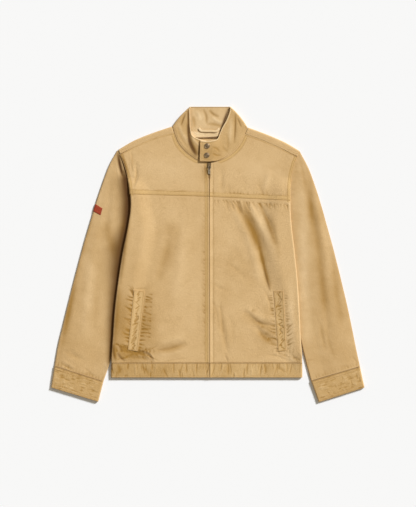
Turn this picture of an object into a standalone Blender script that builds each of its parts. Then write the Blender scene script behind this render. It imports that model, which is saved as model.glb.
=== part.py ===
"""Zip-front blouson jacket, laid flat with its front up. Metres, +Z up, neck towards +Y.

Left and right are the wearer's: the wearer's right half lies on the -X side.
"""
import bpy
import bmesh
import numpy as np
from math import radians
from mathutils import Matrix, Vector

for old in list(bpy.data.objects):
    bpy.data.objects.remove(old, do_unlink=True)

# ---------------------------------------------------------------- driving sizes
clothWall = 0.0018      # shell cloth and its lining, as one wall
bandWall = 0.0030       # collar, hem band and cuffs: doubled cloth
seamGap = 0.0004        # air between two pieces at a seam
restGap = 0.00035       # air under a piece that lies on another
layGap = 0.0024         # air between front and back as laid
bandLayGap = 0.0012     # the same inside the hem band
sleeveLift = 0.0050     # how far the body's sides climb over the tucked sleeves
climbWidth = 0.045      # width of that climb
sleeveHeight = 0.0026   # middle of lower wall to middle of upper wall, tucked part
sleeveCrown = 0.0016    # extra height of the sleeve where it lies in the open
foldReach = 0.0030      # how far a side fold's curve reaches in
hemTop, hemBottom = -0.2875, -0.3246
neckFront = 0.2440      # where the front edges end under the collar
zipHalf = 0.0022        # front edge to the middle of the zip
tapeWidth, tapeWall = 0.0110, 0.0007
snapRadius, snapHeight = 0.0070, 0.0018
collarMid, backCollarMid, tabRise = 0.0060, 0.0015, 0.0034

# Side folds of the body: y, right side x, left side x
sideFolds = [
    (-0.3246, -0.2567, 0.2503), (-0.2663, -0.2551, 0.2495), (-0.2133, -0.2514, 0.2458),
    (-0.1471, -0.2471, 0.2429), (-0.0676, -0.2386, 0.2376), (0.0119, -0.2286, 0.2296),
    (0.0782, -0.2143, 0.2219), (0.1126, -0.2076, 0.2193), (0.1420, -0.2062, 0.2188),
    (0.1595, -0.2064, 0.2180),
]
# Armholes from the shoulder tip down: x, y
armholes = {
    "right": [(-0.2373, 0.2775), (-0.2264, 0.2478), (-0.2169, 0.2186), (-0.2100, 0.1868),
              (-0.2066, 0.1592)],
    "left": [(0.2429, 0.2743), (0.2309, 0.2451), (0.2230, 0.2147), (0.2190, 0.1815),
             (0.2184, 0.1425)],
}
# Shoulder folds from the neck out: x, y
shoulders = {
    "right": [(-0.0950, 0.3392), (-0.1480, 0.3212), (-0.1957, 0.3016), (-0.2373, 0.2775)],
    "left": [(0.1064, 0.3366), (0.1594, 0.3167), (0.2071, 0.2955), (0.2429, 0.2743)],
}
# Forward shoulder seams, neck end and sleeve end: x, y
shoulderSeams = {
    "right": [(-0.0897, 0.3220), (-0.1400, 0.2990), (-0.1840, 0.2760), (-0.2262, 0.2531)],
    "left": [(0.0984, 0.3180), (0.1460, 0.2960), (0.1900, 0.2750), (0.2336, 0.2544)],
}
# Front neck seams from the shoulder to the zip: x, y
neckSeams = {
    "right": [(-0.0897, 0.3220), (-0.0791, 0.2955), (-0.0632, 0.2756), (-0.0447, 0.2597),
              (-0.0235, 0.2478), (0.0014, 0.2438)],
    "left": [(0.0984, 0.3180), (0.0878, 0.2955), (0.0719, 0.2756), (0.0507, 0.2589),
             (0.0269, 0.2480), (0.0062, 0.2438)],
}
# Yoke seams, zip end and armhole end: x, y
yokeSeams = {
    "right": [(0.0014, 0.1529), (-0.2066, 0.1592)],
    "left": [(0.0060, 0.1524), (0.2184, 0.1425)],
}
# Sleeves from the armhole to the cuff: outer fold x, y, inner fold x, y
sleeves = {
    "right": [
        (-0.2376, 0.2768, -0.1944, 0.1232), (-0.2633, 0.2372, -0.1891, 0.1073),
        (-0.2832, 0.1868, -0.1851, 0.0888), (-0.2983, 0.1378, -0.1838, 0.0649),
        (-0.3123, 0.0874, -0.1856, 0.0358), (-0.3261, 0.0398, -0.1931, -0.0040),
        (-0.3415, -0.0159, -0.2050, -0.0583), (-0.3560, -0.0702, -0.2169, -0.1113),
        (-0.3706, -0.1272, -0.2296, -0.1669), (-0.3844, -0.1842, -0.2421, -0.2199),
        (-0.3966, -0.2398, -0.2575, -0.2800), (-0.4062, -0.2952, -0.2765, -0.3363),
    ],
    "left": [
        (0.2432, 0.2736, 0.1978, 0.1179), (0.2667, 0.2279, 0.1933, 0.1020),
        (0.2853, 0.1775, 0.1893, 0.0821), (0.3012, 0.1272, 0.1885, 0.0583),
        (0.3157, 0.0755, 0.1907, 0.0278), (0.3298, 0.0252, 0.1978, -0.0106),
        (0.3436, -0.0291, 0.2097, -0.0623), (0.3576, -0.0861, 0.2217, -0.1153),
        (0.3709, -0.1431, 0.2331, -0.1683), (0.3828, -0.2001, 0.2442, -0.2199),
        (0.3931, -0.2517, 0.2580, -0.2790), (0.4029, -0.2965, 0.2731, -0.3350),
    ],
}
# Cuffs: outer fold x, y, inner fold x, y, at the seam and at the mouth
cuffs = {
    "right": [(-0.4062, -0.2952, -0.2765, -0.3363), (-0.4151, -0.3524, -0.2903, -0.3901)],
    "left": [(0.4029, -0.2965, 0.2731, -0.3350), (0.4151, -0.3524, 0.2932, -0.3912)],
}
# Pocket welts: outer top, inner top, outer bottom, inner bottom as x, y pairs
welts = {
    "right": [(-0.1952, -0.0935), (-0.1671, -0.0965), (-0.2116, -0.2520), (-0.1864, -0.2568)],
    "left": [(0.1991, -0.0965), (0.1740, -0.0965), (0.2071, -0.2549), (0.1864, -0.2568)],
}
# Main folds of the fronts: start x, y, middle x, y, end x, y, half width, height
frontFolds = [
    (0.0790, 0.1440, 0.1300, 0.0560, 0.1640, -0.0880, 0.0095, -0.0018),
    (0.0960, 0.1420, 0.1530, 0.0500, 0.1830, -0.0700, 0.0080, 0.0018),
    (0.0620, 0.1300, 0.1060, 0.0450, 0.1400, -0.0900, 0.0100, 0.0012),
    (0.1370, 0.1380, 0.1600, 0.0900, 0.1830, 0.0250, 0.0080, -0.0012),
    (0.0920, -0.1480, 0.1310, -0.1820, 0.1770, -0.1880, 0.0080, -0.0016),
    (0.0980, -0.1360, 0.1380, -0.1680, 0.1800, -0.1730, 0.0080, 0.0014),
    (0.1240, -0.1880, 0.1480, -0.2120, 0.1770, -0.2260, 0.0080, -0.0012),
    (0.0360, -0.1700, 0.0430, -0.2200, 0.0560, -0.2700, 0.0070, -0.0010),
    (-0.0950, 0.0770, -0.1080, 0.0100, -0.1400, -0.0950, 0.0160, -0.0012),
    (-0.0650, 0.0700, -0.0740, -0.0300, -0.0900, -0.1400, 0.0170, 0.0011),
    (-0.1400, -0.2530, -0.1050, -0.2450, -0.0540, -0.2330, 0.0090, -0.0012),
    (-0.1380, -0.2370, -0.0980, -0.2280, -0.0560, -0.2180, 0.0090, 0.0012),
    (-0.2050, 0.2700, -0.2010, 0.2420, -0.2030, 0.2150, 0.0060, -0.0010),
    (-0.1900, 0.2430, -0.1870, 0.2150, -0.1980, 0.1780, 0.0060, -0.0012),
    (0.0360, 0.2280, 0.0370, 0.1950, 0.0350, 0.1640, 0.0060, -0.0008),
    (0.1650, 0.2250, 0.1560, 0.1950, 0.1500, 0.1620, 0.0080, 0.0010),
]
# Sleeve folds: side, start x, y, middle x, y, end x, y, half width, height
sleeveFolds = [
    ("left", 0.2640, 0.2450, 0.2780, 0.1090, 0.3080, -0.0450, 0.0090, -0.0014),
    ("left", 0.2790, 0.2150, 0.2980, 0.0700, 0.3290, -0.0900, 0.0110, 0.0010),
    ("left", 0.3040, -0.0600, 0.3130, -0.1500, 0.3230, -0.2600, 0.0090, -0.0012),
    ("right", -0.2560, 0.2200, -0.2700, 0.0900, -0.2860, 0.0200, 0.0090, -0.0011),
    ("right", -0.2950, 0.0700, -0.3150, -0.0500, -0.3370, -0.1500, 0.0120, 0.0010),
    ("right", -0.3700, -0.2500, -0.3500, -0.2700, -0.3250, -0.2800, 0.0070, -0.0010),
]
sides = {"right": -1.0, "left": 1.0}


# ---------------------------------------------------------------- small maths
def smooth(t):
    t = np.clip(t, 0.0, 1.0)
    return t * t * (3 - 2 * t)


def hermite(knots, values, at):
    """A smooth curve through the values, with its end slopes carried on."""
    knots, values = np.array(knots, float), np.array(values, float)
    at = np.asarray(at, float)
    slope = np.gradient(values, knots, axis=0)
    i = np.clip(np.searchsorted(knots, at, "right") - 1, 0, len(knots) - 2)
    step = knots[i + 1] - knots[i]
    f = np.clip((at - knots[i]) / step, 0.0, 1.0)
    if values.ndim > 1:
        step, f = step[..., None], f[..., None]
    return ((2 * f**3 - 3 * f**2 + 1) * values[i] + (f**3 - 2 * f**2 + f) * step * slope[i]
            + (-2 * f**3 + 3 * f**2) * values[i + 1] + (f**3 - f**2) * step * slope[i + 1])


def along(points, t):
    """Points of the curve through the table's points, by share of its length."""
    points = np.array(points, float)
    run = np.concatenate([[0], np.cumsum(np.linalg.norm(np.diff(points, axis=0), axis=1))])
    return hermite(run / run[-1], points, t)


def patch(b, t, f, l, u, v):
    """Fill four edges given as points; b and t run with u, f and l with v."""
    uu, vv = u[:, None, None], v[None, :, None]
    corners = ((1 - uu) * (1 - vv) * b[0] + uu * (1 - vv) * b[-1]
               + (1 - uu) * vv * t[0] + uu * vv * t[-1])
    return ((1 - vv) * b[:, None] + vv * t[:, None] + (1 - uu) * f[None] + uu * l[None]
            - corners)


def foldField(x, y, rows):
    """Sum of soft troughs and ridges, each fading to nothing at both ends."""
    total = np.zeros(np.shape(x))
    for x0, y0, x1, y1, x2, y2, half, height in rows:
        line = along([(x0, y0), (x1, y1), (x2, y2)], np.linspace(0, 1, 13))
        best = np.full(np.shape(x), 1e9)
        share = np.zeros(np.shape(x))
        for k in range(12):
            a, d = line[k], line[k + 1] - line[k]
            f = np.clip(((x - a[0]) * d[0] + (y - a[1]) * d[1]) / (d @ d), 0, 1)
            far = np.hypot(x - a[0] - f * d[0], y - a[1] - f * d[1])
            share = np.where(far < best, (k + f) / 12, share)
            best = np.minimum(best, far)
        fade = np.sin(np.pi * np.clip(share, 0, 1)) ** 0.6
        total += height * fade * np.exp(-(best / half) ** 2)
    return total


# ---------------------------------------------------------------- how the layers lie
def foldX(side, y):
    column = 1 if side == "right" else 2
    return hermite([r[0] for r in sideFolds], [r[column] for r in sideFolds], y)


def innerX(side, y):
    """Inner edge of the sleeve that lies under the body, up to the shoulder."""
    rows = [(r[3], r[2]) for r in sleeves[side][1:]] + [(p[1], p[0]) for p in armStart(side, np.linspace(0, 0.96, 9))]
    rows.sort()
    return np.interp(y, [r[0] for r in rows], [r[1] for r in rows])


def lift(x, y):
    high = np.zeros(np.shape(x))
    for side, sign in sides.items():
        inside = sign * (x - innerX(side, y)) + 0.005
        high = high + smooth((inside + climbWidth) / climbWidth)
    return sleeveLift * high * smooth((0.214 - y) / 0.045) * smooth((y + 0.335) / 0.07)


def backZ(x, y):
    return clothWall / 2 + lift(x, y)


def frontZ(x, y):
    edge = np.minimum(np.abs(x - foldX("right", y)), np.abs(x - foldX("left", y)))
    folds = foldField(x, y, frontFolds) * smooth((edge - 0.004) / 0.012)
    return backZ(x, y) + clothWall + np.maximum(layGap + folds, 0.0006)


def zipX(y):
    return 0.0036 + (0.244 - y) * 0.0018


# ---------------------------------------------------------------- mesh helpers
def paint(name, colour, rough, metal=0.0):
    mat = bpy.data.materials.new(name)
    mat.use_nodes = True
    bsdf = mat.node_tree.nodes["Principled BSDF"]
    bsdf.inputs["Base Color"].default_value = (*colour, 1)
    bsdf.inputs["Roughness"].default_value = rough
    bsdf.inputs["Metallic"].default_value = metal
    return mat


def place(name, verts, faces, mat):
    mesh = bpy.data.meshes.new(name)
    mesh.from_pydata([tuple(map(float, v)) for v in verts], [], [tuple(map(int, f)) for f in faces])
    mesh.materials.append(mat)
    mesh.update()
    obj = bpy.data.objects.new(name, mesh)
    bpy.context.scene.collection.objects.link(obj)
    return obj


def normalsOf(mid, around):
    if around:
        du = np.roll(mid, -1, 0) - np.roll(mid, 1, 0)
    else:
        du = np.gradient(mid, axis=0)
    n = np.cross(du, np.gradient(mid, axis=1))
    return n / np.linalg.norm(n, axis=2, keepdims=True)


def shell(name, mid, wall, mat, around=False):
    """A wall of even thickness about a grid of points, closed at its rims."""
    n = normalsOf(mid, around)
    nu, nv = mid.shape[:2]
    verts = np.concatenate([(mid + n * wall / 2).reshape(-1, 3), (mid - n * wall / 2).reshape(-1, 3)])
    low = nu * nv
    at = lambda i, j: (i % nu) * nv + j
    faces = []
    for i in range(nu if around else nu - 1):
        for j in range(nv - 1):
            a, b, c, d = at(i, j), at(i + 1, j), at(i + 1, j + 1), at(i, j + 1)
            faces += [(a, b, c, d), (low + d, low + c, low + b, low + a)]
        a, b = at(i, 0), at(i + 1, 0)
        faces.append((a, low + a, low + b, b))
        a, b = at(i, nv - 1), at(i + 1, nv - 1)
        faces.append((a, b, low + b, low + a))
    if not around:
        for j in range(nv - 1):
            a, b = at(0, j), at(0, j + 1)
            faces.append((a, b, low + b, low + a))
            a, b = at(nu - 1, j), at(nu - 1, j + 1)
            faces.append((a, low + a, low + b, b))
    return place(name, verts, faces, mat)


def stack(x, y, z):
    return np.stack(np.broadcast_arrays(x, y, z), axis=-1)


# ---------------------------------------------------------------- cloth pieces
twill = paint("twill", (0.72, 0.51, 0.29), 0.9)
bandTwill = paint("band_twill", (0.70, 0.49, 0.27), 0.9)
labelRed = paint("label_red", (0.75, 0.16, 0.05), 0.8)
zipTape = paint("zip_tape", (0.30, 0.22, 0.13), 0.9)
brass = paint("worn_metal", (0.16, 0.14, 0.11), 0.4, 0.9)
snapMetal = paint("snap_metal", (0.45, 0.43, 0.38), 0.35, 0.9)

arcDown = np.radians([90, 66, 43, 24, 11])


def sideArc(side, y, angles):
    """Points of the body's side fold: x and z at each angle, for rows y."""
    sign = sides[side]
    edge = foldX(side, y) - sign * clothWall / 2
    inX = edge - sign * foldReach
    top, low = frontZ(inX, y), backZ(inX, y)
    xs = [edge - sign * foldReach * (1 - np.cos(a)) for a in angles]
    zs = [(top + low) / 2 + (top - low) / 2 * np.sin(a) for a in angles]
    return xs, zs


def seamY(side, x):
    (x0, y0), (x1, y1) = yokeSeams[side]
    return y0 + (y1 - y0) * (x - x0) / (x1 - x0)


def frontPanel(side, across=17, up=19):
    sign = sides[side]
    v = np.linspace(0, 1, up)
    rows = []
    low = hemTop + seamGap / 2
    reachTop = yokeSeams[side][1][0] - sign * (clothWall / 2 + foldReach)
    for u in np.linspace(0, 1, across):
        startTop = yokeSeams[side][0][0]
        yTop = seamY(side, startTop + (reachTop - startTop) * u) - seamGap / 2
        y = low + (yTop - low) * v
        inner = zipX(y) + sign * zipHalf
        outer = foldX(side, y) - sign * (clothWall / 2 + foldReach)
        x = inner + (outer - inner) * u
        rows.append(stack(x, y, frontZ(x, y)))
    y = low + (seamY(side, yokeSeams[side][1][0]) - seamGap / 2 - low) * v
    xs, zs = sideArc(side, y, arcDown[1:])
    rows += [stack(x, y, z) for x, z in zip(xs, zs)]
    grid = np.array(rows)
    return grid if sign > 0 else grid[::-1]


def sleeveTop(side, s, v):
    """Height between the sleeve's lower and upper wall, s from outer to inner fold."""
    hump = np.where(s < 0.72, np.sin(np.pi * np.clip(s / 0.72, 0, 1)), 0.0)
    return sleeveHeight + sleeveCrown * hump * smooth(v / 0.12)


def armBow(s, v):
    """How far the sleeve's first rings reach in under the yoke's edge."""
    return 0.0080 * np.sin(np.pi * np.clip(s, 0, 1)) ** 0.7 * smooth(1 - v / 0.09)


def armStart(side, s):
    """The sleeve's upper edge in plan, s from the outer to the inner fold."""
    x0, y0, x1, y1 = sleeves[side][0]
    way = np.array([x1 - x0, y1 - y0]) / np.hypot(x1 - x0, y1 - y0)
    inward = np.array([-sides[side] * abs(way[1]), abs(way[0])])
    s = np.asarray(s, float)[..., None]
    return np.array([x0, y0]) + (np.array([x1, y1]) - [x0, y0]) * s + inward * armBow(s, 0.0)


def yoke(side, across=15):
    sign = sides[side]
    arm, neck = armholes[side], neckSeams[side]
    tip = shoulderSeams[side][-1]
    (x0, y0), (x1, y1) = yokeSeams[side]
    width = abs(x1 - x0)
    turnIn = 1 - np.array([0.0045, 0.0020, 0.0007, 0]) / width
    u = np.concatenate([np.linspace(0, 1 - 0.010 / width, across), turnIn])
    v = np.concatenate([np.linspace(0, 0.41, 5), np.linspace(0.41, 1, 8)[1:]])
    bottomX = x0 + (x1 - sign * seamGap - x0) * u
    bottom = np.stack([bottomX, seamY(side, bottomX) + seamGap / 2], 1)
    corner = np.array([zipX(0.243) + sign * (zipHalf + 0.0001), neck[-1][1] - 0.0010])
    neckUp = [corner] + [(x + sign * 0.0006, y - 0.0008) for x, y in neck[-2::-1]]
    first = [bottom[0] + (corner - bottom[0]) * t / 0.41 if t <= 0.41 else along(neckUp, (t - 0.41) / 0.59)
             for t in v]
    armUp = [bottom[-1]] + [(x - sign * seamGap, y) for x, y in arm[-2::-1] if y < tip[1] - 0.004]
    armUp += [(tip[0] - sign * seamGap, tip[1] - 0.0012)]
    last = along(armUp, v)
    seam = np.array(shoulderSeams[side]) + [0, -seamGap]
    seam[0], seam[-1] = first[-1], last[-1]
    plan = patch(bottom, along(seam, u), np.array(first), last, u, v)
    x, y = plan[..., 0], plan[..., 1]
    z = frontZ(x, y)
    # The armhole edge lies just over the sleeve it is sewn to.
    edgeLine = along(armUp, np.linspace(0, 1, 60))
    far = np.min(np.hypot(x[..., None] - edgeLine[:, 0], y[..., None] - edgeLine[:, 1]), axis=-1)
    overSleeve = clothWall / 2 + sleeveHeight + clothWall + restGap + 0.0001
    z = np.maximum(z, overSleeve + (z - overSleeve) * smooth((far - 0.012) / 0.02))
    foldMid = z - (clothWall + layGap) / 2
    target = foldMid + (overSleeve - foldMid) * smooth((y - 0.158) / 0.03)
    turn = np.sqrt(np.clip(1 - (1 - np.clip(far / 0.0050, 0, 1)) ** 2, 0, 1))
    grid = stack(x, y, target + (z - target) * turn)
    return grid if sign > 0 else grid[::-1]


def shoulderStrip(side, steps=13):
    sign = sides[side]
    t = np.linspace(0.004, 0.996, steps)
    fold, seam = along(shoulders[side], t), along(shoulderSeams[side], t)
    inward = seam - fold
    width = np.linalg.norm(inward, axis=1)
    inward /= width[:, None]
    rows = []
    half = clothWall / 2
    reach = 0.0026
    top = frontZ(*(fold + inward * 0.006).T)
    low = backZ(*(fold + inward * 0.006).T)

    def row(distance, z):
        spot = fold + inward * np.asarray(distance).reshape(-1, 1)
        rows.append(stack(spot[:, 0], spot[:, 1], z))

    row(np.full(steps, 0.0068), low)
    for angle in np.radians([-90, -55, -20, 20, 55, 90]):
        row(np.full(steps, half + reach * (1 - np.cos(angle))), (top + low) / 2 + (top - low) / 2 * np.sin(angle))
    for share in (0.45, 0.72, 1.0):
        distance = (width - seamGap) * share
        spot = fold + inward * distance[:, None]
        row(distance, frontZ(spot[:, 0], spot[:, 1]))
    grid = np.array(rows)
    return grid[::-1] if sign > 0 else grid


def backPanel(across=19):
    low = hemTop + seamGap / 2
    v = np.concatenate([np.linspace(0, 0.70, 10), np.linspace(0.70, 0.86, 6)[1:], [0.93, 1.0]])
    flank, cap = {}, {}
    for side, sign in sides.items():
        inset = sign * (clothWall / 2 + foldReach)
        edge = [(float(foldX(side, y)) - inset, y) for y in [low] + [r[0] for r in sideFolds[1:-1]]]
        ring = armStart(side, np.linspace(0.72, 0.17, 5))
        edge += [(x - sign * 0.0024, y) for x, y in ring]
        tip = armholes[side][0]
        edge += [(tip[0] - sign * 0.0105, tip[1] - 0.0125)]
        flank[side] = edge
        line = np.array(shoulders[side])
        way = np.gradient(line, axis=0)
        way /= np.linalg.norm(way, axis=1)[:, None]
        drop = np.stack([-sign * np.abs(way[:, 1]), -np.abs(way[:, 0])], 1)
        cap[side] = [tuple(p) for p in (line + drop * 0.0080)]
        cap[side][0] = (cap[side][0][0] - sign * 0.0010, cap[side][0][1] - 0.0022)
        cap[side][-1] = edge[-1]
    neck = [(x, y - 0.0011) for x, y in backNeck[1:-1]]
    top = cap["right"][::-1] + neck + cap["left"]
    u = np.linspace(0, 1, across)
    edges = {side: along(flank[side], v) for side in sides}
    bottom = np.stack([edges["right"][0, 0] + (edges["left"][0, 0] - edges["right"][0, 0]) * u,
                       np.full(across, low)], 1)
    plan = patch(bottom, along(top, u), edges["right"], edges["left"], u, v)
    grid = stack(plan[..., 0], plan[..., 1], backZ(plan[..., 0], plan[..., 1]))
    # Below the armholes the back's edges curl up to the side seams.
    wings = {}
    for side, sign in sides.items():
        x, y = edges[side].T
        xs, zs = sideArc(side, y, -arcDown[1:])
        flat = smooth((y - 0.146) / 0.012)
        wings[side] = [stack(cx + (x + sign * 0.0003 * (k + 1) - cx) * flat, y,
                             cz + (backZ(x, y) - cz) * flat) for k, (cx, cz) in enumerate(zip(xs, zs))]
    return np.concatenate([np.array(wings["right"][::-1]), grid, np.array(wings["left"])])


# Back neck seam, right to left: x, y
backNeck = [(-0.0950, 0.3392), (-0.0685, 0.3294), (-0.0341, 0.3252), (0.0030, 0.3241),
            (0.0428, 0.3252), (0.0799, 0.3286), (0.1064, 0.3366)]

for side in sides:
    shell(f"front_panel_{side}", frontPanel(side), clothWall, twill)
    shell(f"front_yoke_{side}", yoke(side), clothWall, twill)
    shell(f"shoulder_strip_{side}", shoulderStrip(side), clothWall, twill)
shell("back_panel", backPanel(), clothWall, twill)


# ---------------------------------------------------------------- sleeves and cuffs
def tubeLoop(outer, inner, height, wall, reach, inside=9):
    """Flattened ring between two folds; height gives the upper wall over the lower one."""
    outer, inner = np.array(outer), np.array(inner)
    width = np.linalg.norm(inner - outer)
    way = (inner - outer) / width
    angles = np.radians([0, 30, 60, 90])
    near = [(wall / 2 + reach * (1 - np.cos(a)), np.sin(a)) for a in angles]
    ends = near[-1][0]
    middle = [(ends + (width - 2 * ends) * k / (inside + 1), 1.0) for k in range(1, inside + 1)]
    far = [(width - d, s) for d, s in near[::-1]]
    upper = near + middle + far
    lower = [(d, -s) for d, s in upper[::-1] if s > 1e-6]
    points = []
    for d, s in upper + lower:
        spot = outer + way * d
        tall = height(d / width, spot)
        round_ = (1 + abs(s)) / 2 if s > 0 else (1 - abs(s)) / 2
        points.append((*spot, wall / 2 + tall * round_ + slack(*spot)))
    return np.array(points)


def slack(x, y):
    """Laid cloth is never quite flat: a slow wave of about a tenth of a millimetre."""
    return 0.00006 * (1 + np.sin(140 * x) * np.cos(110 * y))


def sleeveGrid(side, steps=15, inside=8):
    table = np.array(sleeves[side])
    knots = np.linspace(0, 1, len(table))
    rows = [r[1:] for r in sleeveFolds if r[0] == side]
    grid = []
    for v in np.concatenate([[0, 0.03], np.linspace(0.075, 1, steps - 2)]):
        at = hermite(knots, table, np.array([v]))[0]

        def height(s, spot):
            open_ = smooth((sides[side] * (spot[0] - foldX(side, min(spot[1], 0.15))) - 0.004) / 0.012)
            folds = foldField(spot[0], spot[1], rows) * smooth(min(s, 0.95 - s) / 0.12)
            return sleeveTop(side, s, v) + folds * open_

        ring = tubeLoop(at[:2], at[2:], height, clothWall, 0.0026, inside)
        way = (at[2:] - at[:2]) / np.linalg.norm(at[2:] - at[:2])
        s = ((ring[:, :2] - at[:2]) @ way) / np.linalg.norm(at[2:] - at[:2])
        inward = np.array([-sides[side] * abs(way[1]), abs(way[0])])
        ring[:, :2] += inward * armBow(s, v)[:, None]
        grid.append(ring)
    return np.array(grid).transpose(1, 0, 2)


def cuffGrid(side, steps=4):
    seam, mouth = np.array(cuffs[side])
    start = (seamGap + 0.0002) / np.linalg.norm(mouth[:2] - seam[:2])
    grid = []
    for v in np.linspace(start, 1, steps):
        at = seam + (mouth - seam) * v
        grid.append(tubeLoop(at[:2], at[2:], lambda s, spot: 0.0038, bandWall, 0.0030, 7))
    return np.array(grid).transpose(1, 0, 2)


def outward(grid):
    """Turn the grid so that the wall's first side faces out of the tube."""
    n = normalsOf(grid, True)
    centre = grid.mean(axis=0, keepdims=True)
    return grid if np.mean(np.sum(n * (grid - centre), axis=2)) > 0 else grid[:, ::-1]


for side in sides:
    shell(f"sleeve_{side}", outward(sleeveGrid(side)), clothWall, twill, around=True)
    shell(f"cuff_{side}", outward(cuffGrid(side)), bandWall, bandTwill, around=True)


# ---------------------------------------------------------------- hem band
def hemBand(steps=4, frontCount=10, backCount=14):
    low, high = hemBottom, hemTop - seamGap / 2
    y = np.linspace(low, high, steps)
    angles = np.radians([90, 60, 30, 0, -30, -60, -90])
    rows = []

    def levels(x):
        back = bandWall / 2 + lift(x, y)
        return back, back + bandWall + bandLayGap

    def flank(side):
        sign = sides[side]
        edge = foldX(side, y) - sign * bandWall / 2
        back, front = levels(edge - sign * 0.003)
        order = angles if side == "right" else angles[::-1]
        for a in order:
            rows.append(stack(edge - sign * 0.003 * (1 - np.cos(a)), y,
                              (front + back) / 2 + (front - back) / 2 * np.sin(a)))

    startR, startL = zipX(y) - zipHalf, zipX(y) + zipHalf
    inR = foldX("right", y) + bandWall / 2 + 0.003
    inL = foldX("left", y) - bandWall / 2 - 0.003
    for u in np.linspace(0, 1, frontCount, endpoint=False):
        x = startR + (inR - startR) * u
        rows.append(stack(x, y, levels(x)[1]))
    flank("right")
    for u in np.linspace(0, 1, backCount + 2)[1:-1]:
        x = inR + (inL - inR) * u
        rows.append(stack(x, y, levels(x)[0]))
    flank("left")
    for u in np.linspace(1, 0, frontCount, endpoint=False)[::1][1:]:
        x = startL + (inL - startL) * u
        rows.append(stack(x, y, levels(x)[1]))
    rows.append(stack(startL, y, levels(startL)[1]))
    return np.array(rows)


shell("hem_band", hemBand()[::-1], bandWall, bandTwill)


# ---------------------------------------------------------------- collar
# Collar halves from the side fold to the front end: neck edge x, y, top edge x, y, rise share
collarRight = [
    (-0.0940, 0.3385, -0.0473, 0.3914, 0), (-0.0893, 0.3220, -0.0473, 0.3697, 0),
    (-0.0787, 0.2957, -0.0465, 0.3405, 0), (-0.0629, 0.2760, -0.0433, 0.3193, 0),
    (-0.0444, 0.2602, -0.0341, 0.3106, 0), (-0.0233, 0.2484, -0.0208, 0.3053, 0),
    (0.0004, 0.2446, 0.0004, 0.3000, 0), (0.0090, 0.2446, 0.0090, 0.2985, 0),
]
collarLeft = [
    (0.1054, 0.3360, 0.0600, 0.3914, 0), (0.0979, 0.3180, 0.0574, 0.3776, 0),
    (0.0874, 0.2960, 0.0494, 0.3564, 0), (0.0716, 0.2761, 0.0375, 0.3352, 0),
    (0.0505, 0.2594, 0.0309, 0.3190, 0.25), (0.0268, 0.2486, 0.0250, 0.3065, 0.95),
    (0.0083, 0.2462, 0.0130, 0.3020, 1), (-0.0100, 0.2458, -0.0050, 0.3003, 1),
    (-0.0221, 0.2462, -0.0205, 0.3021, 1),
]


def collarGrid(steps=5, frontCount=10, backCount=8):
    v = np.linspace(0, 1, steps)[:, None]
    bandRows = []

    def span(low, high, z):
        bandRows.append(np.concatenate([low + (high - low) * v, np.full((steps, 1), z)], 1))

    def half(table, order):
        table = np.array(table)
        knots = np.linspace(0, 1, len(table))
        for t in order:
            r = hermite(knots, table, np.array([t]))[0]
            span(r[:2], r[2:4], collarMid + tabRise * np.clip(r[4], 0, 1))

    def turn(table, sign, order):
        low, high = np.array(table[0][:2]), np.array(table[0][2:4])
        way = (high - low) / np.linalg.norm(high - low)
        out = np.array([sign * way[1], -sign * way[0]])
        radius = (collarMid - backCollarMid) / 2
        bow = 0.003 * np.sin(np.pi * v)
        for a in order:
            shift = -(bandWall / 2 + radius * (1 - np.cos(a)))
            spots = low + (high - low) * v + out * (shift + bow)
            z = backCollarMid + radius * (1 + np.sin(a))
            bandRows.append(np.concatenate([spots, np.full((steps, 1), z)], 1))

    quarter = np.radians([90, 60, 30, 0, -30, -60, -90])
    half(collarRight, np.linspace(1, 0, frontCount)[:-1])
    turn(collarRight, -1, quarter)
    for t in np.linspace(0, 1, backCount + 2)[1:-1]:
        low = along(backNeck, t)
        high = np.array([-0.0473 + (0.06 + 0.0473) * t, 0.3914])
        span(low, high, backCollarMid)
    turn(collarLeft, 1, quarter[::-1])
    half(collarLeft, np.linspace(0, 1, frontCount + 1)[1:])
    return np.array(bandRows)


shell("collar", collarGrid()[::-1], bandWall, bandTwill)


# ---------------------------------------------------------------- neck facing and loop
def facingGrid():
    rows = []
    for t in np.linspace(0.12, 0.88, 12):
        x, y = along(backNeck, t)
        ys = y - 0.0006 - np.linspace(0.0, 0.017, 3)
        rows.append(stack(np.full(3, x), ys, clothWall + restGap + 0.0006))
    return np.array(rows)


shell("neck_facing", facingGrid()[::-1], 0.0012, twill)

# Hanger loop from end to end: x, y, height over the collar
loopPath = [(-0.0235, 0.3326, 0.0), (-0.0190, 0.3262, 0.0006), (-0.0080, 0.3246, 0.0010),
            (0.0080, 0.3243, 0.0010), (0.0240, 0.3252, 0.0008), (0.0305, 0.3320, 0.0)]


def loopGrid():
    centre = along(loopPath, np.linspace(0, 1, 15))
    way = np.gradient(centre[:, :2], axis=0)
    way /= np.linalg.norm(way, axis=1)[:, None]
    across = np.stack([-way[:, 1], way[:, 0]], 1)
    rows = []
    base = 0.0030 + 0.0008 + 0.0007
    for c, a in zip(centre, across):
        rows.append(np.array([[c[0] + a[0] * k, c[1] + a[1] * k, base + c[2]] for k in (-0.0028, 0, 0.0028)]))
    return np.array(rows)


shell("hanger_loop", loopGrid(), 0.0014, bandTwill)


# ---------------------------------------------------------------- pockets and label
def weltGrid(side):
    outerTop, innerTop, outerLow, innerLow = [np.array(p) for p in welts[side]]
    u, v = np.linspace(0, 1, 4)[:, None, None], np.linspace(0, 1, 12)[None, :, None]
    plan = ((1 - u) * (1 - v) * outerLow + u * (1 - v) * innerLow
            + (1 - u) * v * outerTop + u * v * innerTop)
    x, y = plan[..., 0], plan[..., 1]
    grid = stack(x, y, frontZ(x, y) + clothWall / 2 + restGap + 0.0008 + 0.0003)
    return grid[::-1] if side == "left" else grid


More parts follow.
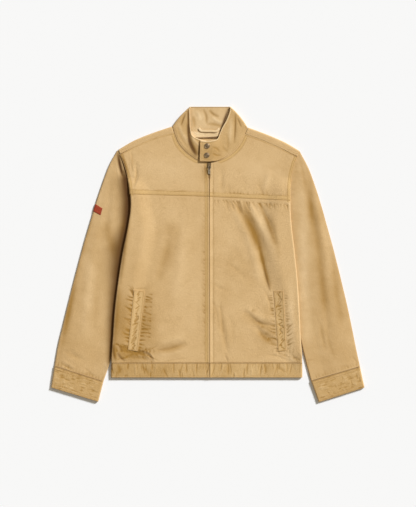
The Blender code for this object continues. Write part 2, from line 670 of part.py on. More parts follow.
def labelGrid():
    """The label lies on the sleeve, made from the sleeve's own points moved out."""
    fine = outward(sleeveGrid("right", 120, 30))
    n = normalsOf(fine, True)
    moved = fine + n * (clothWall / 2 + restGap + 0.0004)
    rows = np.where((fine[0, :, 1] > -1))[0]
    edge = fine[np.argmin(fine[:, 60, 0])]
    keep = [j for j in rows if 0.1085 < edge[j, 1] < 0.1312][::2]
    mid = keep[len(keep) // 2]
    column = [i for i in range(len(fine)) if fine[i, mid, 2] > clothWall / 2 + 0.0012]
    column = sorted(column, key=lambda i: fine[i, mid, 0])
    column = [i for i in column if fine[i, mid, 0] - fine[column[0], mid, 0] < 0.0200]
    grid = moved[np.ix_(column, keep)]
    up = normalsOf(grid, False)[len(column) - 1, 0, 2]
    return grid if up > 0 else grid[:, ::-1]


for side in sides:
    shell(f"pocket_welt_{side}", weltGrid(side), 0.0016, twill)
shell("sleeve_label", labelGrid(), 0.0008, labelRed)


# ---------------------------------------------------------------- zip
def tapeGrid(side, count=26):
    sign = sides[side]
    y = np.linspace(hemBottom + 0.0005, neckFront - 0.0006, count)
    z = clothWall + layGap - restGap - tapeWall / 2
    near = stack(zipX(y) + sign * (zipHalf + 0.0002), y, z)
    far = stack(zipX(y) + sign * tapeWidth, y, z)
    return np.array([near, far] if sign > 0 else [far, near])


def barGrid(count=26):
    y = np.linspace(hemBottom + 0.0003, neckFront - 0.0006, count)
    return np.array([stack(zipX(y) - 0.0017, y, 0.0047), stack(zipX(y) + 0.0017, y, 0.0047)])


for side in sides:
    shell(f"zip_tape_{side}", tapeGrid(side), tapeWall, zipTape)
shell("zip_chain", barGrid(), 0.0022, brass)


sliderY = 0.2356
hingeY, hingeZ = sliderY - 0.0012, 0.0098
sliderX = float(zipX(sliderY))


def block(name, low, high, mat, bevel=0.0, tilt=0.0):
    """A box, bevelled if asked, turned by tilt about the hinge's line."""
    bm = bmesh.new()
    bmesh.ops.create_cube(bm, size=1)
    size, mid = (np.array(high) - low), (np.array(high) + low) / 2
    for vert in bm.verts:
        vert.co = [vert.co[k] * size[k] + mid[k] for k in range(3)]
        turned = vert.co - Vector((0, hingeY, hingeZ))
        vert.co = Matrix.Rotation(tilt, 3, "X") @ turned + Vector((0, hingeY, hingeZ))
    if bevel:
        bmesh.ops.bevel(bm, geom=list(bm.edges), offset=bevel, segments=2, profile=0.5, affect="EDGES")
    mesh = bpy.data.meshes.new(name)
    bm.to_mesh(mesh)
    bm.free()
    mesh.materials.append(mat)
    obj = bpy.data.objects.new(name, mesh)
    bpy.context.scene.collection.objects.link(obj)
    return obj


def rod(name, start, end, radius, mat, sides_=16):
    """A closed round bar between two points."""
    start, end = np.array(start, float), np.array(end, float)
    way = (end - start) / np.linalg.norm(end - start)
    ref = np.array([0, 0, 1.0]) if abs(way[2]) < 0.9 else np.array([1.0, 0, 0])
    a = np.cross(way, ref)
    a /= np.linalg.norm(a)
    b = np.cross(way, a)
    ring = [a * np.cos(t) + b * np.sin(t) for t in np.arange(sides_) * 2 * np.pi / sides_]
    verts = [start + radius * r for r in ring] + [end + radius * r for r in ring]
    faces = [(k, (k + 1) % sides_, sides_ + (k + 1) % sides_, sides_ + k) for k in range(sides_)]
    faces += [tuple(range(sides_))[::-1], tuple(range(sides_, 2 * sides_))]
    obj = place(name, verts, faces, mat)
    bm = bmesh.new()
    bm.from_mesh(obj.data)
    bmesh.ops.recalc_face_normals(bm, faces=bm.faces)
    bm.to_mesh(obj.data)
    bm.free()
    return obj


def combine(obj, tool, way):
    tool.hide_render = True
    tool.display_type = "WIRE"
    mod = obj.modifiers.new(way.lower(), "BOOLEAN")
    mod.operation = way
    mod.solver = "EXACT"
    mod.object = tool


# Slider: a plate on the zip with a keel down into it and a bridge for the pull's bar.
plateLow, plateHigh = 0.0064, 0.0080
slider = block("zip_slider", (sliderX - 0.0048, sliderY - 0.0070, plateLow),
               (sliderX + 0.0048, sliderY + 0.0070, plateHigh), brass, 0.0004)
bridge = block("slider_bridge", (sliderX - 0.0012, hingeY - 0.0036, plateHigh - 0.0004),
               (sliderX + 0.0012, hingeY + 0.0036, hingeZ + 0.0024), brass)
window = block("slider_window", (sliderX - 0.0030, hingeY - 0.0018, hingeZ - 0.0014),
               (sliderX + 0.0030, hingeY + 0.0018, hingeZ + 0.0013), brass)
combine(slider, bridge, "UNION")
combine(slider, window, "DIFFERENCE")

# Pull: a round bar under the bridge, two arms and a tapering tongue lying down the zip.
pullLength, pullTilt = 0.0220, radians(7.0)
pull = rod("zip_pull", (sliderX - 0.0031, hingeY, hingeZ), (sliderX + 0.0031, hingeY, hingeZ), 0.0008, brass)
for sign in (-1, 1):
    arm = block(f"pull_arm_{'a' if sign < 0 else 'b'}",
                (sliderX + sign * 0.0025 - 0.0008, hingeY - 0.0090, hingeZ - 0.0006),
                (sliderX + sign * 0.0025 + 0.0008, hingeY + 0.0006, hingeZ + 0.0006), brass, 0.0, pullTilt)
    combine(pull, arm, "UNION")
tongue = block("pull_tongue", (sliderX - 0.0030, hingeY - pullLength, hingeZ - 0.0006),
               (sliderX + 0.0030, hingeY - 0.0070, hingeZ + 0.0006), brass, 0.0, pullTilt)
combine(pull, tongue, "UNION")

# Snaps on the collar tab, upper and lower: x, y
for name, (x, y) in {"snap_upper": (-0.0017, 0.2875), "snap_lower": (-0.0025, 0.2629)}.items():
    base = collarMid + tabRise + bandWall / 2 + restGap
    snap = rod(name, (x, y, base), (x, y, base + snapHeight), snapRadius, snapMetal, 28)
    dimple = rod(f"{name}_dimple", (x, y, base + snapHeight - 0.0005),
                 (x, y, base + snapHeight + 0.001), 0.0032, snapMetal, 20)
    combine(snap, dimple, "DIFFERENCE")
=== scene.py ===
# The looks of a zip-front blouson jacket, laid flat with its front up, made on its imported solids.
# Metres, +Z up, neck towards +Y. Left and right are the wearer's: the wearer's right is at -X.
import math

import bpy
import bmesh
import numpy as np
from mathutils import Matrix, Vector
from mathutils.bvhtree import BVHTree


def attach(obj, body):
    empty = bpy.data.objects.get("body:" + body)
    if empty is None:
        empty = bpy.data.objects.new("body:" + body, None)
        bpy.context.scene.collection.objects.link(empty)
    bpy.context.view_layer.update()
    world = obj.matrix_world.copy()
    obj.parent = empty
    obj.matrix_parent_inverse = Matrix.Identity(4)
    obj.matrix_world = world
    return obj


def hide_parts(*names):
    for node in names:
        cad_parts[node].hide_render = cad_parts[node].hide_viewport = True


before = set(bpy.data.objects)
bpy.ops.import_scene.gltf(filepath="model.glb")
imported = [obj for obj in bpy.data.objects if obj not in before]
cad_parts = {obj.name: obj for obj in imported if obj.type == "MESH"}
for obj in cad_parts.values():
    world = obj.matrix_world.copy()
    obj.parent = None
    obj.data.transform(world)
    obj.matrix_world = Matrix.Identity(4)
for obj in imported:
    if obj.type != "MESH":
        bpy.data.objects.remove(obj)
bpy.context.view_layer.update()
sides = {"right": -1.0, "left": 1.0}
print("frame loaded:", len(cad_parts), "nodes")

# ---- the shot: straight down, one pixel of the photo is 2.65 mm on the table
shot = {"zeroX": 207.85, "zeroY": 254.5, "pixel": 0.00265, "high": 507, "middle": (208.0, 253.5), "away": 6.0}
lamp = {"turn": 42.0, "above": 31.0, "spread": 11.0, "strength": 4.45, "sky": 0.325, "floor": 0.9,
        "sunColour": (0.985, 1.015, 1.085), "skyColour": (1.0, 0.925, 0.79)}


def spot(px, py):
    return (np.asarray(px) - shot["zeroX"]) * shot["pixel"], (shot["zeroY"] - np.asarray(py)) * shot["pixel"]


def linked(name, data):
    made = bpy.data.objects.new(name, data)
    bpy.context.scene.collection.objects.link(made)
    return made


def setShot():
    scene = bpy.context.scene
    camera = linked("camera", bpy.data.cameras.new("camera"))
    x, y = spot(*shot["middle"])
    camera.location = (float(x), float(y), shot["away"])
    camera.data.sensor_width = 36.0
    camera.data.lens = 36.0 * shot["away"] / (shot["high"] * shot["pixel"])
    camera.data.clip_end = 50
    scene.camera = camera
    key = linked("key", bpy.data.lights.new("key", "SUN"))
    turn, above = math.radians(lamp["turn"]), math.radians(lamp["above"])
    towards = Vector((math.cos(turn) * math.cos(above), math.sin(turn) * math.cos(above), math.sin(above)))
    key.rotation_euler = towards.to_track_quat("Z", "Y").to_euler()
    key.data.energy = lamp["strength"]
    key.data.angle = math.radians(lamp["spread"])
    key.data.color = lamp["sunColour"]
    scene.world = bpy.data.worlds.new("studio")
    scene.world.use_nodes = True
    sky = scene.world.node_tree.nodes["Background"].inputs
    sky["Color"].default_value = (*lamp["skyColour"], 1)
    sky["Strength"].default_value = lamp["sky"]
    scene.view_settings.view_transform = "Standard"


setShot()


# ---- small maths
def smooth(t):
    t = np.clip(t, 0.0, 1.0)
    return t * t * (3 - 2 * t)


def upTo(value, full):  # 0 at nothing, 1 from the full value on
    return np.clip(value / full, 0, 1)


def bell(far, width):
    return np.exp(-(far / width) ** 2)


def hermite(knots, values, at):
    knots, values, at = np.array(knots, float), np.array(values, float), np.asarray(at, float)
    slope = np.gradient(values, knots, axis=0)
    i = np.clip(np.searchsorted(knots, at, "right") - 1, 0, len(knots) - 2)
    step = knots[i + 1] - knots[i]
    f = np.clip((at - knots[i]) / step, 0.0, 1.0)
    if values.ndim > 1:
        step, f = step[..., None], f[..., None]
    return ((2 * f**3 - 3 * f**2 + 1) * values[i] + (f**3 - 2 * f**2 + f) * step * slope[i]
            + (-2 * f**3 + 3 * f**2) * values[i + 1] + (f**3 - f**2) * step * slope[i + 1])


def runOf(points):  # the way gone at each point of a line
    return np.concatenate([[0], np.cumsum(np.linalg.norm(np.diff(points, axis=0), axis=1))])


def along(points, t):  # points at shares t of a smooth line's length
    points = np.array(points, float)
    run = runOf(points)
    return hermite(run / run[-1], points, t)


def patch(b, t, f, l, u, v):  # fills four edges given as points
    uu, vv = u[:, None, None], v[None, :, None]
    corners = ((1 - uu) * (1 - vv) * b[0] + uu * (1 - vv) * b[-1] + (1 - uu) * vv * t[0] + uu * vv * t[-1])
    return (1 - vv) * b[:, None] + vv * t[:, None] + (1 - uu) * f[None] + uu * l[None] - corners


def stack(x, y, z):
    return np.stack(np.broadcast_arrays(x, y, z), axis=-1)


def creases(x, y, rows, steps=12, root=False):
    # soft troughs and ridges: start x, y, middle x, y, end x, y, half width, height; root: highest at the start
    x, y = np.asarray(x, float), np.asarray(y, float)
    total = np.zeros(np.broadcast(x, y).shape)
    for row in rows:
        line = along(np.reshape(row[:6], (3, 2)), np.linspace(0, 1, steps + 1))
        half, height = row[6], row[7]
        near = ((x > line[:, 0].min() - 3 * half) & (x < line[:, 0].max() + 3 * half)
                & (y > line[:, 1].min() - 3 * half) & (y < line[:, 1].max() + 3 * half))
        if not near.any():
            continue
        xs, ys = x[near], y[near]
        best, share = np.full(xs.shape, 1e9), np.zeros(xs.shape)
        for k in range(steps):
            a, d = line[k], line[k + 1] - line[k]
            f = upTo((xs - a[0]) * d[0] + (ys - a[1]) * d[1], d @ d)
            far = np.hypot(xs - a[0] - f * d[0], ys - a[1] - f * d[1])
            share = np.where(far < best, (k + f) / steps, share)
            best = np.minimum(best, far)
        if root:
            fade = smooth(share / 0.12) * (1 - share)
        else:
            fade = np.sin(np.pi * np.clip(share, 0, 1)) ** 0.6
        total[near] += height * fade * bell(best, half)
    return total


def fromPhoto(rows):  # rows in photo pixels and millimetres to metres
    made = []
    for r in rows:
        points = [float(c) for k in range(3) for c in spot(r[2 * k], r[2 * k + 1])]
        made.append((*points, r[6] * shot["pixel"], r[7] / 1000))
    return made


def inked(x, y, rows):  # the same lines as amounts of colour
    return creases(x, y, fromPhoto(rows)) * 1000


def puckers(rows):
    # short gathers that leave a seam: x, y to x, y, count, lean in degrees, reach, half width, height in mm
    made = []
    for n, (x0, y0, x1, y1, count, lean, reach, half, height) in enumerate(rows):
        rng = np.random.default_rng(n + 11)
        for k in range(count):
            t = (k + 0.5 + rng.uniform(-0.32, 0.32)) / count
            x, y = x0 + (x1 - x0) * t, y0 + (y1 - y0) * t
            turn = math.radians(lean + rng.uniform(-14, 14))
            far = reach * rng.uniform(0.5, 1.25)
            bow = rng.uniform(-0.12, 0.12) * far
            ex, ey = math.cos(turn), math.sin(turn)
            made.append((x, y, x + ex * far / 2 - ey * bow, y + ey * far / 2 + ex * bow, x + ex * far, y + ey * far,
                         half * rng.uniform(0.7, 1.3), height * rng.uniform(0.45, 1.2)))
    return fromPhoto(made)


def lineFar(x, y, points):  # how far places are from a line of points
    points = np.array(points, float)
    best = np.full(np.shape(x), 1e9)
    for a, b in zip(points[:-1], points[1:]):
        d = b - a
        f = upTo((x - a[0]) * d[0] + (y - a[1]) * d[1], d @ d)
        best = np.minimum(best, np.hypot(x - a[0] - f * d[0], y - a[1] - f * d[1]))
    return best


def blobs(x, y, rows):  # slow changes of a colour amount, which carry painted shade and painted highlight too: x, y, half width, half height in photo pixels, amount
    total = np.zeros(np.shape(x))
    for px, py, wide, high, amount in rows:
        cx, cy = spot(px, py)
        total += amount * np.exp(-((x - cx) / (wide * shot["pixel"])) ** 2 - ((y - cy) / (high * shot["pixel"])) ** 2)
    return total


def spread(length, step, rim=0.0012, start=True, end=True):
    # shares of a length: even steps, with rows close together where the edge rolls
    close = np.array([0, 0.1, 0.4, 1.0]) * rim
    a = close if start else np.array([0.0])
    b = length - close[::-1] if end else np.array([length])
    count = max(2, int(round((b[0] - a[-1]) / step)) + 1)
    return np.concatenate([a, np.linspace(a[-1], b[0], count)[1:-1], b]) / length


# ---- materials
def linear(colour):
    c = np.array(colour, float) / 255
    return tuple(np.where(c <= 0.04045, c / 12.92, ((c + 0.055) / 1.055) ** 2.4)) + (1.0,)


class Wire:
    # a socket that adds Math nodes when it is used in an expression
    def __init__(self, paint, socket):
        self.paint, self.socket = paint, socket

    def maths(self, operation, *values):
        return self.paint.node("ShaderNodeMath", {"operation": operation}, dict(enumerate(values)))

    def __add__(self, other):
        return self.maths("ADD", self, other)

    def __sub__(self, other):
        return self.maths("SUBTRACT", self, other)

    def __rsub__(self, other):
        return self.maths("SUBTRACT", other, self)

    def __mul__(self, other):
        return self.maths("MULTIPLY", self, other)

    __radd__, __rmul__ = __add__, __mul__


class Paint:
    def __init__(self, name, **shader):
        self.material = bpy.data.materials.new(name)
        self.material.use_nodes = True
        self.tree = self.material.node_tree
        self.shader = self.tree.nodes["Principled BSDF"]
        for key, value in shader.items():
            self.shader.inputs[key.replace("_", " ")].default_value = value

    def node(self, kind, settings=None, sockets=None, out=0):
        made = self.tree.nodes.new(kind)
        for key, value in (settings or {}).items():
            if key == "stops":
                ramp = made.color_ramp.elements
                while len(ramp) < len(value):
                    ramp.new(0.5)
                for element, (at, colour) in zip(ramp, value):
                    element.position, element.color = at, colour
            else:
                setattr(made, key, value)
        for key, value in (sockets or {}).items():
            self.feed(made.inputs[key], value)
        return Wire(self, made.outputs[out])

    def feed(self, socket, value):
        if isinstance(value, Wire):
            self.tree.links.new(value.socket, socket)
        else:
            socket.default_value = value

    def attribute(self, name):
        return self.node("ShaderNodeAttribute", {"attribute_name": name}, out="Fac")

    def mix(self, share, a, b):
        settings = {"data_type": "RGBA", "clamp_factor": True}
        return self.node("ShaderNodeMix", settings, {0: share, 6: a, 7: b}, out=2)

    def noise(self, where, scale, detail=2.0, rough=0.5):
        return self.node("ShaderNodeTexNoise", {}, {"Vector": where, "Scale": scale, "Detail": detail,
                                                     "Roughness": rough})

    def bump(self, height, strength, distance, below=None):
        sockets = {"Height": height, "Strength": strength, "Distance": distance}
        if below is not None:
            sockets["Normal"] = below
        return self.node("ShaderNodeBump", {}, sockets)


cloth = {
    "mid": (209, 174, 122), "pale": (227, 195, 146), "deep": (158, 117, 50), "gold": (203, 165, 97),
    "shadowBrown": (80, 48, 14), "light": 0.978, "trimLight": 0.97,
    # weave pitch and depth in metres, and the fineness of the noises
    "twillPitch": 0.00075, "twillDepth": 0.00010, "slub": 620, "crumple": 105, "mottle": 24,
}


def lit(colour, light=cloth["trimLight"]):
    c = linear(colour)
    return (c[0] / light, c[1] / light, c[2] / light, 1.0)


def clothPaint(name, look, shift=0.0):
    # washed cotton twill: the colour is deeper in the hollows, partly painted shade, and ridges and seams are paler,
    # partly worn and partly painted highlight
    paint = Paint(name, Roughness=0.88, Sheen_Weight=0.12, Sheen_Roughness=0.5, Specular_IOR_Level=0.25)
    place = paint.node("ShaderNodeTexCoord", out="Object")
    cut = paint.node("ShaderNodeUVMap", {"uv_map": "cut"})
    dye, wear, gold, shade = [paint.attribute(k) for k in ("dye", "wear", "gold", "shade")]
    slow = paint.noise(place, look["mottle"], 3.0, 0.55)
    fine = paint.noise(place, look["crumple"], 4.0, 0.6)
    slub = paint.noise(place, look["slub"], 2.0, 0.5)
    tone = dye + (slow - 0.5) * 0.42 + (fine - 0.5) * 0.12 + (slub - 0.5) * 0.08 + shift
    # worn and painted highlight: these amounts make ridges, the lit side fold and some patches paler
    colour = paint.mix(wear + (0.5 - slow) * 0.40 + (0.5 - fine) * 0.10, lit(look["mid"], look["light"]),
                       lit(look["pale"], look["light"]))
    colour = paint.mix(gold, colour, lit(look["gold"], look["light"]))
    # painted shade: these amounts pull the colour towards deep gold-brown in hollows, creases and darker patches,
    # besides the random tone
    colour = paint.mix(tone, colour, lit(look["deep"], look["light"]))
    # painted shade: the shade amounts darken the cloth towards a deep brown where shadows fall
    colour = paint.mix(shade, colour, lit(look["shadowBrown"], look["light"]))
    # the twill line runs up to the right on the cut piece
    scale = 2 * math.pi / (10 * look["twillPitch"])
    lines = paint.node("ShaderNodeTexWave", {"wave_type": "BANDS", "bands_direction": "DIAGONAL"},
                       {"Vector": cut, "Scale": scale, "Distortion": 0.6, "Detail": 1.0, "Detail Scale": 2.0})
    colour = paint.mix((1 - lines) * 0.10, colour, lit(look["deep"], look["light"]))
    paint.feed(paint.shader.inputs["Base Color"], colour)
    paint.feed(paint.shader.inputs["Roughness"], 0.80 + slow * 0.14)
    first = paint.bump(fine, 0.6, 0.0009)
    second = paint.bump(slub, 0.5, 0.00025, first)
    third = paint.bump(lines, 0.6, look["twillDepth"], second)
    paint.feed(paint.shader.inputs["Normal"], third)
    return paint.material


twill = clothPaint("twill", cloth)
bandTwill = clothPaint("band_twill", dict(cloth, pale=(240, 212, 166)), 0.10)
print("cloth materials ready")


# ---- cloth pieces as thin closed shells
surfaces = {}  # the outer points of each piece, for what is sewn on it


def normalsOf(mid, around):  # around: the first and the last row are neighbours
    du = np.roll(mid, -1, 0) - np.roll(mid, 1, 0) if around else np.gradient(mid, axis=0)
    n = np.cross(du, np.gradient(mid, axis=1))
    return n / np.linalg.norm(n, axis=2, keepdims=True)


def outward(grid, *more):  # turns a tube's rings round where its faces would look inwards
    out = normalsOf(grid, True) * (grid - grid.mean(axis=0, keepdims=True))
    turn = slice(None) if np.mean(np.sum(out, axis=2)) > 0 else slice(None, None, -1)
    return [grid[turn]] + [np.broadcast_to(layer, grid.shape[:2])[turn] for layer in more]


def coarse(count, every, around):  # every few rows, and always the last one
    rows = list(range(0, count, every))
    last = count if around else count - 1
    return rows if rows[-1] == last else rows + [last]


def gridShell(name, mid, wall, material, around=False, every=3, rim=0.0009, relief=None, inside=None, **layers):
    # a wall of even thickness about a grid of points, its open edges rolled round and its inner side coarser
    nu, nv = mid.shape[:2]
    n = normalsOf(mid, around)
    stepV = np.linalg.norm(np.diff(mid, axis=1), axis=2)
    runV = np.concatenate([np.zeros((nu, 1)), np.cumsum(stepV, axis=1)], axis=1)
    closing = np.concatenate([mid, mid[:1]]) if around else mid
    stepU = np.linalg.norm(np.diff(closing, axis=0), axis=2)
    runU = np.concatenate([np.zeros((1, nv)), np.cumsum(stepU, axis=0)])
    far = np.minimum(runV, runV[:, -1:] - runV)
    if not around:
        far = np.minimum(far, np.minimum(runU, runU[-1:] - runU))
    full = np.sqrt(1 - (1 - upTo(far, rim)) ** 2)
    rise = np.zeros((nu, nv)) if relief is None else relief
    outer = mid + n * ((wall / 2 + rise) * full)[..., None]
    sink = np.zeros((nu, nv)) if inside is None else inside
    inner = mid - n * ((wall / 2 + sink) * full)[..., None]
    iu, jv = coarse(nu, every, around), coarse(nv, every, False)
    index = np.arange(nu * nv).reshape(nu, nv)
    if around:
        index = np.concatenate([index, index[:1]])
    a, b, c, d = index[:-1, :-1], index[1:, :-1], index[1:, 1:], index[:-1, 1:]
    faces = np.stack([a, b, c, d], -1).reshape(-1, 4).tolist()
    uv = np.stack([runU, np.concatenate([runV, runV[:1]]) if around else runV], -1)
    corners = np.stack([uv[:-1, :-1], uv[1:, :-1], uv[1:, 1:], uv[:-1, 1:]], 2).reshape(-1, 2)
    loops, extra, innerIndex = [corners], [], {}

    def inFace(i, j):  # the rim's points are shared, the others are made when first asked for
        if j in (0, nv - 1) or (not around and i in (0, nu - 1)):
            return int(index[i, j])
        key = (i % nu, j)
        if key not in innerIndex:
            innerIndex[key] = nu * nv + len(extra)
            extra.append(inner[i % nu, j])
        return innerIndex[key]

    for i0, i1 in zip(iu[:-1], iu[1:]):
        for j0, j1 in zip(jv[:-1], jv[1:]):
            path = [(i, j0) for i in range(i0, i1)] if j0 == 0 else [(i0, j0)]
            path += [(i1, j) for j in range(j0, j1)] if i1 == nu - 1 and not around else [(i1, j0)]
            path += [(i, j1) for i in range(i1, i0, -1)] if j1 == nv - 1 else [(i1, j1)]
            path += [(i0, j) for j in range(j1, j0, -1)] if i0 == 0 and not around else [(i0, j1)]
            path = path[::-1]
            faces.append([inFace(i, j) for i, j in path])
            loops.append(np.array([uv[i, j] for i, j in path]))
    mesh = bpy.data.meshes.new(name)
    mesh.from_pydata(np.concatenate([outer.reshape(-1, 3), np.array(extra)]).tolist(), [], faces)
    mesh.materials.append(material)
    mesh.uv_layers.new(name="cut").data.foreach_set("uv", np.concatenate(loops).astype(np.float32).ravel())
    mesh.polygons.foreach_set("use_smooth", np.ones(len(faces), bool))
    for key in ("dye", "wear", "gold", "shade"):
        values = np.zeros(len(mesh.vertices), np.float32)
        if key in layers:
            values[:nu * nv] = np.broadcast_to(layers[key], (nu, nv)).ravel()
        mesh.attributes.new(key, "FLOAT", "POINT").data.foreach_set("value", values)
    mesh.update()
    piece = linked(name, mesh)
    surfaces[name] = outer
    return piece


def lay(piece, nodes, body="jacket"):
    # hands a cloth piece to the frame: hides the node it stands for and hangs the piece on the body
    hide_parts(*nodes)
    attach(piece, body)


# ---- how the layers lie
layers = {
    "wall": 0.0018, "bandWall": 0.0030, "seamGap": 0.00016, "restGap": 0.00035, "layGap": 0.0024,
    "bandLayGap": 0.0012, "lift": 0.0050, "climb": 0.045, "foldReach": 0.0030,
}
wall, bandWall, seamGap = layers["wall"], layers["bandWall"], layers["seamGap"]
# Side folds of the body: y, right side x, left side x
sideFolds = [
    (-0.3246, -0.2567, 0.2503), (-0.2663, -0.2551, 0.2495), (-0.2133, -0.2514, 0.2458),
    (-0.1471, -0.2468, 0.2429), (-0.0676, -0.2372, 0.2376), (0.0119, -0.2246, 0.2296),
    (0.0782, -0.2112, 0.2219), (0.1126, -0.2058, 0.2193), (0.1420, -0.2046, 0.2188), (0.1595, -0.2058, 0.2180),
]
# Armholes from the shoulder tip down: x, y
armholes = {
    "right": [(-0.2373, 0.2775), (-0.2264, 0.2478), (-0.2169, 0.2186), (-0.2100, 0.1868), (-0.2066, 0.1592)],
    "left": [(0.2429, 0.2743), (0.2309, 0.2451), (0.2230, 0.2147), (0.2190, 0.1815), (0.2184, 0.1425)],
}
# Shoulder folds from the neck out, and the seams brought forward of them: x, y
shoulders = {
    "right": [(-0.0950, 0.3392), (-0.1480, 0.3212), (-0.1957, 0.3016), (-0.2373, 0.2775)],
    "left": [(0.1064, 0.3366), (0.1594, 0.3167), (0.2071, 0.2955), (0.2429, 0.2743)],
}
shoulderSeams = {
    "right": [(-0.0897, 0.3220), (-0.1400, 0.3085), (-0.1840, 0.2900), (-0.2331, 0.2660)],
    "left": [(0.0984, 0.3180), (0.1460, 0.3010), (0.1900, 0.2815), (0.2366, 0.2590)],
}
# Neck seams from the shoulder to the zip, and yoke seams from the zip to the armhole: x, y
neckSeams = {
    "right": [(-0.0897, 0.3220), (-0.0791, 0.2955), (-0.0632, 0.2756), (-0.0447, 0.2597), (-0.0235, 0.2478),
              (0.0014, 0.2438)],
    "left": [(0.0984, 0.3180), (0.0878, 0.2955), (0.0719, 0.2756), (0.0507, 0.2589), (0.0269, 0.2480),
             (0.0062, 0.2438)],
}
yokeSeams = {"right": [(0.0014, 0.1529), (-0.2066, 0.1592)], "left": [(0.0060, 0.1524), (0.2184, 0.1425)]}
backNeck = [(-0.0950, 0.3392), (-0.0685, 0.3294), (-0.0341, 0.3252), (0.0030, 0.3241), (0.0428, 0.3252),
            (0.0799, 0.3286), (0.1064, 0.3366)]
# Sleeves from the armhole to the cuff: outer fold x, y, inner fold x, y
sleeves = {
    "right": [
        (-0.2391, 0.2768, -0.1944, 0.1232), (-0.2604, 0.2372, -0.1891, 0.1073), (-0.2795, 0.1868, -0.1851, 0.0888),
        (-0.2960, 0.1378, -0.1838, 0.0649), (-0.3112, 0.0874, -0.1856, 0.0358), (-0.3253, 0.0398, -0.1931, -0.0040),
        (-0.3405, -0.0159, -0.2050, -0.0583), (-0.3548, -0.0702, -0.2169, -0.1113),
        (-0.3692, -0.1272, -0.2296, -0.1669), (-0.3832, -0.1842, -0.2421, -0.2199),
        (-0.3966, -0.2398, -0.2575, -0.2800), (-0.4062, -0.2952, -0.2765, -0.3363),
    ],
    "left": [
        (0.2432, 0.2736, 0.1978, 0.1179), (0.2667, 0.2279, 0.1933, 0.1020), (0.2853, 0.1775, 0.1893, 0.0821),
        (0.3012, 0.1272, 0.1885, 0.0583), (0.3157, 0.0755, 0.1907, 0.0278), (0.3298, 0.0252, 0.1978, -0.0106),
        (0.3436, -0.0291, 0.2097, -0.0623), (0.3576, -0.0861, 0.2217, -0.1153), (0.3709, -0.1431, 0.2331, -0.1683),
        (0.3828, -0.2001, 0.2442, -0.2199), (0.3931, -0.2517, 0.2580, -0.2790), (0.4029, -0.2965, 0.2731, -0.3350),
    ],
}
# Main folds of the fronts, as in the solids: x, y three times, half width, height
frontFolds = [
    (0.0790, 0.1440, 0.1300, 0.0560, 0.1640, -0.0880, 0.0115, -0.0014),
    (0.0960, 0.1420, 0.1530, 0.0500, 0.1830, -0.0700, 0.0115, 0.0009),
    (0.0620, 0.1300, 0.1060, 0.0450, 0.1400, -0.0900, 0.0100, 0.0012),
    (0.1370, 0.1380, 0.1600, 0.0900, 0.1830, 0.0250, 0.0090, -0.0008),
    (0.0920, -0.1480, 0.1310, -0.1820, 0.1770, -0.1880, 0.0090, -0.0010),
    (0.0980, -0.1360, 0.1380, -0.1680, 0.1800, -0.1730, 0.0090, 0.0008),
    (0.1240, -0.1880, 0.1480, -0.2120, 0.1770, -0.2260, 0.0080, -0.0012),
    (0.0360, -0.1700, 0.0430, -0.2200, 0.0560, -0.2700, 0.0070, -0.0010),
    (-0.0950, 0.0770, -0.1080, 0.0100, -0.1400, -0.0950, 0.0180, -0.0007),
    (-0.0650, 0.0700, -0.0740, -0.0300, -0.0900, -0.1400, 0.0190, 0.0006),
    (-0.1400, -0.2530, -0.1050, -0.2450, -0.0540, -0.2330, 0.0090, -0.0008),
    (-0.1380, -0.2370, -0.0980, -0.2280, -0.0560, -0.2180, 0.0100, 0.0007),
    (-0.2050, 0.2700, -0.2010, 0.2420, -0.2030, 0.2150, 0.0060, -0.0010),
    (-0.1900, 0.2430, -0.1870, 0.2150, -0.1980, 0.1780, 0.0060, -0.0012),
    (0.0360, 0.2280, 0.0370, 0.1950, 0.0350, 0.1640, 0.0060, -0.0008),
    (0.1650, 0.2250, 0.1560, 0.1950, 0.1500, 0.1620, 0.0080, 0.0010),
]


def foldX(side, y):  # where the body's side fold is at this height
    column = 1 if side == "right" else 2
    return hermite([r[0] for r in sideFolds], [r[column] for r in sideFolds], y)


def armBow(s, v):  # how far the armhole end of a sleeve bulges, at share s across and v along
    return 0.0080 * np.sin(np.pi * np.clip(s, 0, 1)) ** 0.7 * smooth(1 - v / 0.09)


def armStart(side, s):  # points of that end
    x0, y0, x1, y1 = sleeves[side][0]
    way = np.array([x1 - x0, y1 - y0]) / np.hypot(x1 - x0, y1 - y0)
    inward = np.array([-sides[side] * abs(way[1]), abs(way[0])])
    s = np.asarray(s, float)[..., None]
    return np.array([x0, y0]) + (np.array([x1, y1]) - [x0, y0]) * s + inward * armBow(s, 0.0)


def innerX(side, y):  # where the sleeve's inner fold lies under the body
    rows = [(r[3], r[2]) for r in sleeves[side][1:]]
    rows += [(p[1], p[0]) for p in armStart(side, np.linspace(0, 0.96, 9))]
    rows.sort()
    return np.interp(y, [r[0] for r in rows], [r[1] for r in rows])


def lift(x, y):  # the body's sides climb over the sleeves tucked under them
    high = np.zeros(np.shape(x))
    for side, sign in sides.items():
        high = high + smooth((sign * (x - innerX(side, y)) + 0.005 + layers["climb"]) / layers["climb"])
    return layers["lift"] * high * smooth((0.214 - y) / 0.045) * smooth((y + 0.335) / 0.07)


def backZ(x, y):
    return wall / 2 + lift(x, y)


def frontZ(x, y):
    edge = np.minimum(np.abs(x - foldX("right", y)), np.abs(x - foldX("left", y)))
    folds = creases(x, y, frontFolds) * smooth((edge - 0.004) / 0.012)
    return backZ(x, y) + wall + np.maximum(layers["layGap"] + folds, 0.0006)


def zipX(y):  # the zip's middle leans a little
    return 0.0036 + (0.244 - y) * 0.0018


